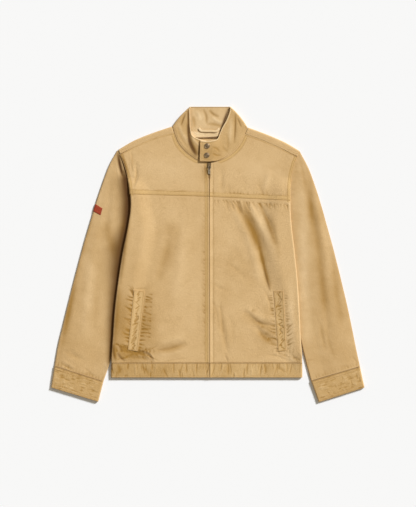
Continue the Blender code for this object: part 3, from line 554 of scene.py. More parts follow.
def placket(x, y, sign):  # the front edges close over the teeth, except where the slider holds them open
    near = sign * (x - zipX(y)) - body["zipHalf"]
    shut = smooth((body["openFrom"] - y) / 0.012)
    moved = x - sign * body["close"] * shut * np.clip(1 - near / 0.012, 0, 1) ** 2
    return moved, body["edgeRise"] * shut * smooth(1 - near / 0.0062)


def slack(x, y):  # keeps wide flat cloth from being one exact plane
    return 0.00006 * (1 + np.sin(140 * x) * np.cos(110 * y))


def seamY(side, x):  # the yoke seam
    (x0, y0), (x1, y1) = yokeSeams[side]
    return y0 + (y1 - y0) * (x - x0) / (x1 - x0)


# ---- body: panels, yokes, shoulder strips, back
body = {
    "step": 0.0016, "hemTop": -0.2875, "zipHalf": 0.0022, "close": 0.0017, "edgeRise": 0.0011, "openFrom": 0.2060,
    # creases: x, y three times and half width in photo pixels, height in mm
    "creases": [
        (226.0, 199.5, 226.6, 204, 228.5, 212, 1.3, -0.45), (231.0, 200.5, 232.3, 205, 234.5, 211, 1.1, -0.50),
        (236.6, 201.5, 237.8, 206.5, 240.8, 214, 1.6, -0.80), (239.8, 201, 241.5, 205, 244, 212, 1.0, 0.60),
        (245.8, 201.5, 247.8, 206, 250.5, 212, 1.2, -0.70), (249.2, 202, 252, 207, 256.5, 214, 1.5, 0.45),
        (259.5, 202.5, 263.5, 211, 270, 224, 1.8, -0.60), (269.0, 202.5, 270.8, 205, 272.8, 208, 1.1, -0.70),
        (283.5, 203, 285.5, 205, 288, 207.5, 0.7, -0.45), (286.2, 202, 287.5, 203.4, 289.4, 205.6, 0.6, 0.40),
        (239, 206, 250, 226, 260.5, 252, 5.0, -0.52), (248, 205, 259, 222, 268, 246, 3.0, 0.50),
        (258, 240, 263.5, 266, 270.5, 291, 2.6, -0.60), (262, 240, 267.5, 264, 273.5, 288, 2.4, 0.36),
        (266, 214, 272.5, 229, 277, 250, 2.6, -0.55), (289.2, 204, 292.8, 229, 296.6, 262, 1.0, 0.45),
        (296.6, 258, 297.6, 300, 302, 352, 1.0, 0.40), (219.6, 302, 222.0, 322, 222.4, 334, 1.5, -0.55),
        (213, 282, 221, 289, 232, 291, 2.2, -0.40), (225, 262, 237, 270, 246, 281, 2.2, -0.35),
        (212, 300, 216.5, 312, 218.5, 330, 1.2, -0.35), (232, 246, 240, 257, 246, 270, 3.0, -0.25),
        (228, 310, 233, 330, 232, 350, 2.0, -0.30),
        (180, 204, 178, 230, 172, 262, 3.0, -0.30), (160, 205, 158, 235, 152, 268, 3.5, -0.25),
        (195, 300, 198, 320, 196, 340, 2.5, -0.25),
        (224.0, 353, 226.4, 357, 228.2, 362.5, 1.0, -0.60), (240, 268, 246, 275, 254, 283, 3.0, -0.25),
        (247, 312, 258.5, 322, 274.5, 325.2, 1.8, -0.45), (250, 317, 262, 327.5, 276, 329.5, 2.0, 0.30),
        (258, 330, 266, 338, 277, 341, 2.2, -0.50), (263.5, 289, 268, 298, 272, 315, 1.5, -0.60),
        (264, 354.5, 276, 356, 290, 361.5, 1.2, -0.50), (290.5, 352.5, 294, 357, 300.5, 359.5, 1.0, -0.55),
        (286, 352, 288.5, 356.5, 293.5, 362, 0.9, 0.40),
        (155.2, 350.5, 171, 348, 186, 342.5, 1.7, -0.70), (163.5, 362.4, 176, 359.6, 189, 358.4, 1.0, -0.45),
        (158, 354.5, 172, 353.5, 188, 349, 2.0, 0.40), (140.5, 350.8, 150, 353, 155.5, 362, 0.9, 0.55),
        (143, 352.6, 149, 355, 153, 362, 0.8, -0.50), (118, 352, 121, 357, 125.5, 360.5, 1.0, -0.60),
        (122, 350.5, 132, 353, 141, 352, 0.9, -0.45), (126, 356, 136, 358, 146, 359, 1.1, -0.40),
        (117.5, 343.5, 122, 345, 128.5, 349, 0.8, -0.45), (134, 289.2, 141, 288.6, 149.5, 289.6, 0.8, -0.50),
        (171, 222, 167.5, 247, 158, 282, 4.0, -0.30), (186, 215, 181, 250, 174, 300, 5.0, 0.25),
        (137.2, 165, 138.2, 174, 134.8, 187, 1.1, 0.50), (135.8, 166, 136.2, 176, 133.0, 188, 0.9, -0.50),
        (131.5, 153, 132.2, 162, 131.2, 171, 0.9, -0.45), (129.8, 152, 130.6, 160, 130.6, 170, 0.8, 0.40),
        (204, 167, 205.5, 172, 206.5, 180, 1.1, -0.50), (200.5, 163, 203, 168, 205.5, 177, 1.0, 0.35),
        (210, 300, 216, 306, 226, 309, 1.6, -0.20), (150, 318, 165, 322, 180, 318, 2.5, -0.20),
        (228, 184, 229, 189, 228.5, 193.5, 1.6, -0.30), (243, 176, 245, 185, 245, 194, 2.0, -0.25),
        (257, 182, 261, 190, 264, 197, 1.3, -0.40), (284, 178, 284.5, 188, 287, 198, 1.5, -0.30),
    ],
    "backCreases": [
        (150, 150, 175, 158, 205, 156, 3.0, 0.6), (262, 148, 240, 158, 214, 157, 3.0, 0.55),
        (135, 205, 150, 240, 158, 290, 4.0, 0.6), (286, 205, 270, 245, 262, 300, 4.0, 0.6),
        (170, 330, 200, 322, 240, 332, 3.5, 0.5), (128, 345, 150, 338, 175, 345, 2.6, 0.6),
        (290, 345, 270, 336, 246, 346, 2.6, 0.6), (196, 190, 200, 240, 198, 300, 5.0, 0.4),
        (224, 180, 221, 235, 226, 290, 5.0, 0.4), (140, 180, 142, 196, 136, 214, 2.0, 0.5),
    ],
    # seam gathers: from x, y to x, y, count, lean in degrees, reach, half width in pixels, height in mm
    "gathers": [
        (133.4, 297, 128.6, 348, 15, 207, 8.0, 0.72, -0.95), (133.8, 288.5, 133.4, 299, 5, 238, 9.0, 0.7, -0.80),
        (145.9, 294, 138.6, 348, 16, 12, 7.0, 0.66, -0.85), (152.8, 292, 150.5, 340, 12, 188, 5.0, 0.60, -0.60),
        (284.4, 294, 286.0, 322, 11, 2, 4.4, 0.60, -0.60), (286.0, 320, 287.3, 351, 10, -42, 8.0, 0.68, -0.80),
        (272.0, 293, 275.4, 326, 10, 188, 5.5, 0.68, -0.75), (275.4, 325, 278.0, 351, 9, 196, 10.0, 0.75, -0.65),
        (114, 343, 152, 357, 11, 24, 10.0, 0.75, -0.75), (116, 360, 152, 349, 9, -22, 9.0, 0.7, -0.65),
        (118, 345, 152, 361, 8, 62, 6.0, 0.65, -0.60), 
        (250, 308, 272, 346, 7, 18, 10.0, 1.5, -0.32), (276, 352, 300, 360, 7, 35, 7.0, 0.7, -0.45),
        (116, 352, 155, 353, 12, 262, 7.0, 0.7, -0.60), (272, 352, 294, 353, 8, 262, 7.0, 0.7, -0.50),
        (204.4, 182, 204.6, 250, 14, 222, 3.5, 0.55, -0.22), (204.6, 250, 204.8, 278, 7, 222, 5.0, 0.6, -0.48),
        (204.8, 278, 205.0, 330, 12, 222, 4.6, 0.6, -0.40), (205.0, 330, 205.2, 362, 7, 222, 4.0, 0.6, -0.25),
        (214.0, 200, 214.5, 362, 34, -40, 3.0, 0.5, -0.14), (113, 362.9, 302, 362.9, 62, 92, 4.5, 0.62, -0.42),
        (134, 191.6, 207, 193.6, 17, 268, 3.4, 0.7, -0.22), (212, 193.6, 289, 195.8, 20, 262, 5.5, 0.8, -0.34),
        (134, 197.6, 207, 198.8, 16, 92, 3.4, 0.7, -0.22), (213, 199, 289, 204.4, 22, 68, 9.0, 0.8, -0.55),
        (120.8, 158, 130.2, 194, 8, 20, 4.0, 0.7, -0.30), (175.5, 139, 198, 162, 9, 140, 4.0, 0.7, -0.22),
    ],
    # slow changes of the colour, partly painted shade: x, y, half width, half height in photo pixels, amount
    "dye": [
        (140, 325, 17, 34, 0.62), (121, 325, 8, 36, 0.50), (205, 171, 3.5, 8, 0.45),
        (266, 320, 7, 14, 0.16), (262, 340, 8, 10, 0.20), (235, 268, 16, 22, 0.14), (222, 315, 5, 20, 0.12),
        (200, 215, 8, 20, 0.06), (135, 262, 7, 26, 0.10), (150, 310, 7, 26, 0.16), (128, 352, 12, 7, 0.20),
        (272, 222, 6, 14, 0.14), (250, 320, 14, 9, 0.10), (207, 270, 1.6, 95, 0.08), (170, 260, 16, 40, 0.06),
        (225, 345, 9, 18, 0.08), (172, 346, 14, 4, 0.18), (133, 355, 16, 6, 0.34), (300, 358, 6, 5, 0.14),
    ],
    # lines of deeper colour, mostly painted shade along valleys and beside the sleeves: x, y three times and half width
    # as for the creases, then amount
    "dyeLines": [
        (203.4, 205, 203.7, 280, 204.2, 361, 2.8, 0.22), (213.6, 205, 213.8, 280, 214.2, 361, 1.6, 0.12),
        (238, 202, 249, 224, 259, 250, 5.6, 0.50), (245, 214, 256, 240, 263, 264, 4.2, 0.34),
        (259, 246, 264.5, 268, 270.5, 291, 2.2, 0.70), (258, 203, 267, 222, 275, 246, 1.8, 0.50),
        (243.5, 203, 249, 212, 256, 226, 1.6, 0.34), (272, 226, 277, 245, 280, 262, 2.5, 0.22),
        (130.5, 200, 125.5, 245, 120.2, 285, 2.6, 0.60), (120.5, 280, 116.5, 322, 113.5, 362, 2.6, 0.45),
        (171, 222, 167.5, 250, 158, 290, 5.0, 0.16), (121, 153, 125.5, 165, 129, 179, 1.3, 0.6),
        (250, 318, 262, 326, 277, 330, 3.0, 0.34), (258, 333, 268, 341, 278, 345, 2.6, 0.34),
        (154, 352, 172, 350, 188, 344, 2.6, 0.30), (113.6, 343, 114.4, 352, 116.5, 362, 1.6, 0.6),
    ],
    # painted shade in creases, beside the sleeves and about the pockets: x, y three times and half width as for the
    # creases, then amount
    "shade": [
        (131.0, 156, 131.4, 163, 133.4, 172, 0.55, 0.30), (137.0, 168, 138.4, 176, 134.8, 187, 0.6, 0.28),
        (237.0, 201.8, 241.5, 211, 248, 220, 1.3, 0.16), (246, 217, 254, 229, 260.5, 250, 4.6, 0.12),
        (257.5, 236, 263.6, 264, 270.6, 292, 1.2, 0.26), (263.5, 268, 267, 280, 270.5, 292, 0.8, 0.42),
        (129.6, 205, 125.2, 245, 120.0, 285, 1.3, 0.42), (119.6, 282, 116.0, 322, 113.2, 368, 1.1, 0.26),
        (120.4, 153, 124.7, 165, 128.6, 180, 0.8, 0.80), (136.8, 349.6, 149.4, 353.6, 154.4, 361.5, 0.9, 0.42),
        (116.5, 351.5, 120, 357, 125.5, 361.4, 0.9, 0.46), (117.6, 342, 120, 347.5, 123.5, 352.5, 0.8, 0.34),
        (139, 356.5, 147, 357.5, 153.5, 362, 0.7, 0.26), (113.2, 344, 113.8, 352, 116, 361, 0.9, 0.42),
        (258.5, 203.5, 267.5, 222.5, 275.5, 245.5, 1.5, 0.14),
        (245.6, 201.5, 247.8, 206, 250.0, 211, 0.7, 0.18), (230.9, 200.5, 232.5, 205, 234.4, 210.5, 0.6, 0.14),
        (250, 314, 259.5, 322, 274.0, 325.0, 0.9, 0.20), (260, 331.4, 267, 339.5, 276, 342.5, 1.0, 0.18),
        (156, 350.4, 171, 348, 184, 343, 1.0, 0.14), (204.2, 165, 205.4, 171, 206.8, 179, 1.6, 0.30),
        (224.2, 354.6, 226.6, 358, 228.2, 362.6, 0.7, 0.30), (297.8, 352, 301, 357, 303.2, 361, 0.8, 0.26),
        (118, 352, 121, 357, 125.5, 361.0, 0.8, 0.30), (142.5, 352.4, 149, 355, 152, 361, 0.6, 0.24),
        (209.3, 176, 209.4, 189, 209.4, 202, 0.5, 0.30),
    ],
    # patches made paler, partly worn and partly painted highlight: x, y, half width, half height, amount
    "pale": [(165, 168, 30, 16, 0.40), (255, 170, 28, 16, 0.36), (213, 275, 2.0, 90, 0.35), (263, 218, 5, 12, 0.4),
             (180, 215, 30, 14, 0.20), (230, 250, 10, 30, 0.22), (190, 300, 16, 30, 0.16),
             (240, 300, 12, 14, 0.12), (291, 322, 4, 34, 0.85), (262, 330, 4, 26, 0.2)],
    # the left shoulder strip is made paler by painted highlight
    "stripLook": {"right": {"gold": 0.32, "wear": 0.35}, "left": {"gold": 0.1, "wear": 1.0}},
}
bodyCreases, bodyGathers = fromPhoto(body["creases"]), puckers(body["gathers"])
# Pocket welts: outer top, inner top, outer bottom, inner bottom as x, y pairs
welts = {
    "right": [(-0.1952, -0.0935), (-0.1671, -0.0965), (-0.2116, -0.2520), (-0.1864, -0.2568)],
    "left": [(0.1991, -0.0965), (0.1740, -0.0965), (0.2071, -0.2549), (0.1864, -0.2568)],
}


def weltShare(side, x, y):  # where a point lies on the welt: across 0..1 and up 0..1
    outerTop, innerTop, outerLow, innerLow = [np.array(p) for p in welts[side]]
    v = (y - (outerLow[1] + innerLow[1]) / 2) / ((outerTop[1] + innerTop[1] - outerLow[1] - innerLow[1]) / 2)
    left, right = outerLow[0] + (outerTop[0] - outerLow[0]) * v, innerLow[0] + (innerTop[0] - innerLow[0]) * v
    return (x - left) / (right - left), v


def underWelt(x, y):
    cover = np.zeros(np.shape(x))
    for side in sides:
        u, v = weltShare(side, x, y)
        cover = np.maximum(cover, smooth(1.5 - np.abs(u - 0.5) * 2.6) * smooth((0.5 - np.abs(v - 0.5)) / 0.02 + 0.5))
    return cover


def bodyStitchLines(side):  # rows of topstitching on the fronts: polylines of x, y
    sign = sides[side]
    y = np.linspace(-0.2862, 0.2400, 40)
    rows = {"placket": np.stack([zipX(y) + sign * 0.0112, y], 1)}
    yoke = yokeSeams[side]
    rows["yokeLow"] = np.array([(x, seamY(side, x) + 0.0019) for x in np.linspace(yoke[0][0], yoke[1][0], 12)])
    rows["yokeHigh"] = rows["yokeLow"] + [0, 0.0105]
    end = foldX(side, -0.2850) - sign * 0.006
    rows["hem"] = np.array([(x, -0.2858) for x in np.linspace(zipX(-0.2858) + sign * 0.004, end, 20)])
    arm = np.array(armholes[side])
    rows["armOut"], rows["armIn"] = arm + [-sign * 0.0020, -0.0006], arm + [-sign * 0.0082, -0.0025]
    neck = along(neckSeams[side][:-1], np.linspace(0.04, 0.99, 30))
    rows["neckOut"], rows["neckIn"] = neck + [sign * 0.0014, -0.0015], neck + [sign * 0.0062, -0.0062]
    seam = np.array(shoulderSeams[side])
    rows["shoulder"], rows["shoulderHigh"] = seam + [0, -0.0020], seam + [0, 0.0078]
    return rows


def grooveAt(far):  # the line that a row of stitches presses into the cloth
    return bell(far, 0.0009)


def bodyRelief(x, y):  # large and fine creases, and the grooves of the stitching
    grooves = np.zeros(np.shape(x))
    for side in sides:
        for line in bodyStitchLines(side).values():
            grooves = np.maximum(grooves, grooveAt(lineFar(x, y, line)))
    fine = creases(x, y, bodyGathers, 4, root=True)
    large = creases(x, y, bodyCreases, 8)
    keep = 1 - underWelt(x, y)
    return large * keep, fine * keep - 0.00022 * grooves * keep, grooves


def bodyLayers(x, y, large, fine, grooves):  # the four colour amounts of the fronts and yokes
    solid = creases(x, y, frontFolds)
    # painted shade: the colour deepens in the hollows of large creases and gathers, and in the stitch grooves
    dye = 0.50 * upTo(-(large + 0.55 * solid), 0.0016) + 0.70 * upTo(-fine, 0.0005)
    dye = dye + blobs(x, y, body["dye"]) + inked(x, y, body["dyeLines"]) + 0.30 * grooves
    # ridges of the creases and the pale patches are paler, partly worn and partly painted highlight; painted highlight
    # also runs along the left side fold, which faces the light
    wear = 0.75 * upTo(large + 0.5 * solid, 0.0012) + 0.5 * upTo(fine, 0.0003)
    wear = wear + blobs(x, y, body["pale"]) + 0.3 * smooth(1 - (foldX("left", y) - x) / 0.0080) * (y < 0.145)
    # painted shade: the shade lines, a line along the hem seam and the hollows of the gathers
    shade = inked(x, y, body["shade"]) + 0.34 * bell(y - body["hemTop"], 0.0012)
    shade = np.clip(shade + 0.30 * upTo(-fine, 0.0008) ** 2, 0, 0.9)
    gold = np.zeros(np.shape(x))
    for side in sides:
        (x0, _), (x1, _) = yokeSeams[side]
        inside = (x - x0) / (x1 - x0)
        up = (y - seamY(side, x)) / 0.0125
        band = smooth(up * 6 + 0.5) * smooth((1 - up) * 6 + 0.5) * (inside > -0.02) * (inside < 1.02)
        gold = np.maximum(gold, 0.38 * band)
        lines = bodyStitchLines(side)
        for a, b, amount in (("neckOut", "neckIn", 0.5), ("armOut", "armIn", 0.45), ("shoulder", "shoulderHigh", 0.3)):
            band = lineFar(x, y, lines[a]) + lineFar(x, y, lines[b]) - np.linalg.norm(lines[a][2] - lines[b][2])
            gold = np.maximum(gold, amount * bell(np.maximum(band, 0), 0.0016))
    strip = (x - zipX(y) + 0.0112) / 0.009
    gold = np.maximum(gold, 0.5 * smooth(strip * 5) * smooth((1 - strip) * 5))
    return {"dye": dye, "wear": np.clip(wear, 0, 0.9), "gold": gold, "shade": shade}


def sideArc(side, y, angles):  # the turn of the cloth at the side fold
    sign = sides[side]
    edge = foldX(side, y) - sign * wall / 2
    inX = edge - sign * layers["foldReach"]
    top, low = frontZ(inX, y), backZ(inX, y)
    xs = [edge - sign * layers["foldReach"] * (1 - np.cos(a)) for a in angles]
    zs = [(top + low) / 2 + (top - low) / 2 * np.sin(a) for a in angles]
    return xs, zs


def frontPanel(side):  # points, and how much of the relief each takes
    sign = sides[side]
    v = spread(0.440, body["step"])
    low = body["hemTop"] + seamGap / 2
    reachTop = yokeSeams[side][1][0] - sign * (wall / 2 + layers["foldReach"])
    u = spread(0.245, body["step"], end=False)
    startTop = yokeSeams[side][0][0]
    yTop = seamY(side, startTop + (reachTop - startTop) * u) - seamGap / 2
    y = low + (yTop[:, None] - low) * v[None]
    inner = zipX(y) + sign * body["zipHalf"]
    outer = foldX(side, y) - sign * (wall / 2 + layers["foldReach"])
    x = inner + (outer - inner) * u[:, None]
    x, rise = placket(x, y, sign)
    grid = stack(x, y, frontZ(x, y) + rise)
    angles = np.radians(np.linspace(90, 11, 10))[1:]
    yEnd = low + (seamY(side, yokeSeams[side][1][0]) - seamGap / 2 - low) * v
    xs, zs = sideArc(side, yEnd, angles)
    grid = np.concatenate([grid, np.array([stack(a, yEnd, b) for a, b in zip(xs, zs)])])
    flat = np.concatenate([np.ones(len(u)), np.sin(angles) ** 2])[:, None]
    return (grid, flat) if sign > 0 else (grid[::-1], flat[::-1])


def yokeGrid(side):
    sign = sides[side]
    arm, neck = armholes[side], neckSeams[side]
    tip = shoulderSeams[side][-1]
    (x0, _), (x1, _) = yokeSeams[side]
    u = spread(abs(x1 - x0), body["step"])
    v = spread(0.115, body["step"])
    bottomX = x0 + (x1 - sign * seamGap - x0) * u
    bottom = np.stack([bottomX, seamY(side, bottomX) + seamGap / 2], 1)
    corner = np.array([zipX(0.243) + sign * (body["zipHalf"] + 0.0001), neck[-1][1] - 0.0010])
    neckUp = [corner] + [(x - sign * 0.0007, y + 0.0008) for x, y in neck[-2::-1]]
    first = [bottom[0] + (corner - bottom[0]) * t / 0.41 if t <= 0.41 else along(neckUp, (t - 0.41) / 0.59)
             for t in v]  # the zip edge is 0.41 of the yoke's inner side, the neck the rest
    armUp = [bottom[-1]] + [(x - sign * seamGap, y) for x, y in arm[-2::-1] if y < tip[1] - 0.004]
    armUp += [(tip[0] - sign * seamGap, tip[1] - 0.0012)]
    last = along(armUp, v)
    seam = np.array(shoulderSeams[side]) + [0, 0.0003]
    seam[0], seam[-1] = first[-1], last[-1]
    plan = patch(bottom, along(seam, u), np.array(first), last, u, v)
    x, y = plan[..., 0], plan[..., 1]
    z = frontZ(x, y)
    far = lineFar(x, y, along(armUp, np.linspace(0, 1, 60)))
    overSleeve = wall / 2 + 0.0026 + wall + layers["restGap"] + 0.0001
    z = np.maximum(z, overSleeve + (z - overSleeve) * smooth((far - 0.012) / 0.02))
    foldMid = z - (wall + layers["layGap"]) / 2
    target = foldMid + (overSleeve - foldMid) * smooth((y - 0.158) / 0.03)
    turn = np.sqrt(np.clip(1 - (1 - upTo(far, 0.0050)) ** 2, 0, 1))
    x, rise = placket(x, y, sign)
    grid = stack(x, y, target + (z - target) * turn + rise)
    return (grid, turn) if sign > 0 else (grid[::-1], turn[::-1])


def stripGrid(side):  # from under the shoulder, round the fold, to the seam in front
    sign = sides[side]
    t = spread(0.165, 0.0022) * 0.999 + 0.0005
    steps = len(t)
    fold, seam = along(shoulders[side], t), along(shoulderSeams[side], t)
    for line in (fold, seam):  # reaches in under the collar
        line[0] += 0.4 * (line[0] - line[1])
    inward = seam - fold
    width = np.linalg.norm(inward, axis=1)
    inward /= width[:, None]
    half, reach = wall / 2, 0.0026
    top, low = frontZ(*(fold + inward * 0.006).T), backZ(*(fold + inward * 0.006).T)
    rows = []

    def row(distance, z):
        place = fold + inward * np.asarray(distance).reshape(-1, 1)
        rows.append(stack(place[:, 0], place[:, 1], z))

    row(np.full(steps, 0.0068), low)
    row(np.full(steps, 0.0060), low)
    for angle in np.radians(np.linspace(-90, 90, 13)):
        row(np.full(steps, half + reach * (1 - np.cos(angle))), (top + low) / 2 + (top - low) / 2 * np.sin(angle))
    width = width + 0.0003
    first = (half + reach) / width
    for share in np.concatenate([np.linspace(0, 0.95, 12)[1:], [0.985, 1.0]]):
        distance = width * (first + (1 - first) * share)
        place = fold + inward * distance[:, None]
        row(distance, frontZ(place[:, 0], place[:, 1]))
    grid = np.array(rows)
    return grid[::-1] if sign > 0 else grid


def backPanel(across=90):
    low = body["hemTop"] + seamGap / 2
    v = np.concatenate([np.linspace(0, 0.70, 60), np.linspace(0.70, 0.86, 26)[1:], np.linspace(0.86, 1, 14)[1:]])
    flank, cap = {}, {}
    for side, sign in sides.items():
        inset = sign * (wall / 2 + layers["foldReach"])
        edge = [(float(foldX(side, y)) - inset, y) for y in [low] + [r[0] for r in sideFolds[1:-1]]]
        edge += [(x - sign * 0.0024, y) for x, y in armStart(side, np.linspace(0.72, 0.17, 5))]
        tip = armholes[side][0]
        edge += [(tip[0] - sign * 0.0105, tip[1] - 0.0125)]
        flank[side] = edge
        line = np.array(shoulders[side])
        way = np.gradient(line, axis=0)
        way /= np.linalg.norm(way, axis=1)[:, None]
        drop = np.stack([-sign * np.abs(way[:, 1]), -np.abs(way[:, 0])], 1)
        cap[side] = [tuple(p) for p in (line + drop * 0.0080)]
        cap[side][0] = (cap[side][0][0] - sign * 0.0010, cap[side][0][1] - 0.0022)
        cap[side][-1] = edge[-1]
    neck = [(x, y - 0.0011) for x, y in backNeck[1:-1]]
    top = cap["right"][::-1] + neck + cap["left"]
    u = np.linspace(0, 1, across)
    edges = {side: along(flank[side], v) for side in sides}
    bottom = np.stack([edges["right"][0, 0] + (edges["left"][0, 0] - edges["right"][0, 0]) * u,
                       np.full(across, low)], 1)
    plan = patch(bottom, along(top, u), edges["right"], edges["left"], u, v)
    grid = stack(plan[..., 0], plan[..., 1], backZ(plan[..., 0], plan[..., 1]))
    wings = {}
    angles = -np.radians(np.linspace(90, 11, 7))[1:]
    for side, sign in sides.items():
        x, y = edges[side].T
        xs, zs = sideArc(side, y, angles)
        flat = smooth((y - 0.146) / 0.012)
        wings[side] = [stack(cx + (x + sign * 0.0002 * (k + 1) - cx) * flat, y, cz + (backZ(x, y) - cz) * flat)
                       for k, (cx, cz) in enumerate(zip(xs, zs))]
    return np.concatenate([np.array(wings["right"][::-1]), grid, np.array(wings["left"])])


def frontCloth(name, grid, flat):
    x, y = grid[..., 0], grid[..., 1]
    large, fine, grooves = bodyRelief(x, y)
    return gridShell(name, grid, wall, twill, rim=0.0006, relief=(large + fine) * flat,
                     **bodyLayers(x, y, large, fine, grooves))


def makeBody():
    for side in sides:
        piece = frontCloth(f"front_cloth_{side}", *frontPanel(side))
        lay(piece, [f"front_panel_{side}"])
        piece = frontCloth(f"yoke_cloth_{side}", *yokeGrid(side))
        lay(piece, [f"front_yoke_{side}"])
        grid = stripGrid(side)
        grooves = grooveAt(lineFar(grid[..., 0], grid[..., 1], bodyStitchLines(side)["shoulderHigh"]))
        # painted shade in the groove of the stitching
        piece = gridShell(f"shoulder_cloth_{side}", grid, wall, twill, every=2, rim=0.0006, relief=-0.0002 * grooves,
                          dye=0.3 * grooves, **body["stripLook"][side])
        lay(piece, [f"shoulder_strip_{side}"])
    grid = backPanel()[::-1]
    x, y = grid[..., 0], grid[..., 1]
    hollow = -np.abs(creases(x, y, fromPhoto(body["backCreases"]), 8))
    # painted shade in the hollows of the back's creases
    piece = gridShell("back_cloth", grid, wall, twill, relief=hollow, dye=0.6 * upTo(-hollow, 0.0006))
    lay(piece, ["back_panel"])


makeBody()
print("body cloth made")


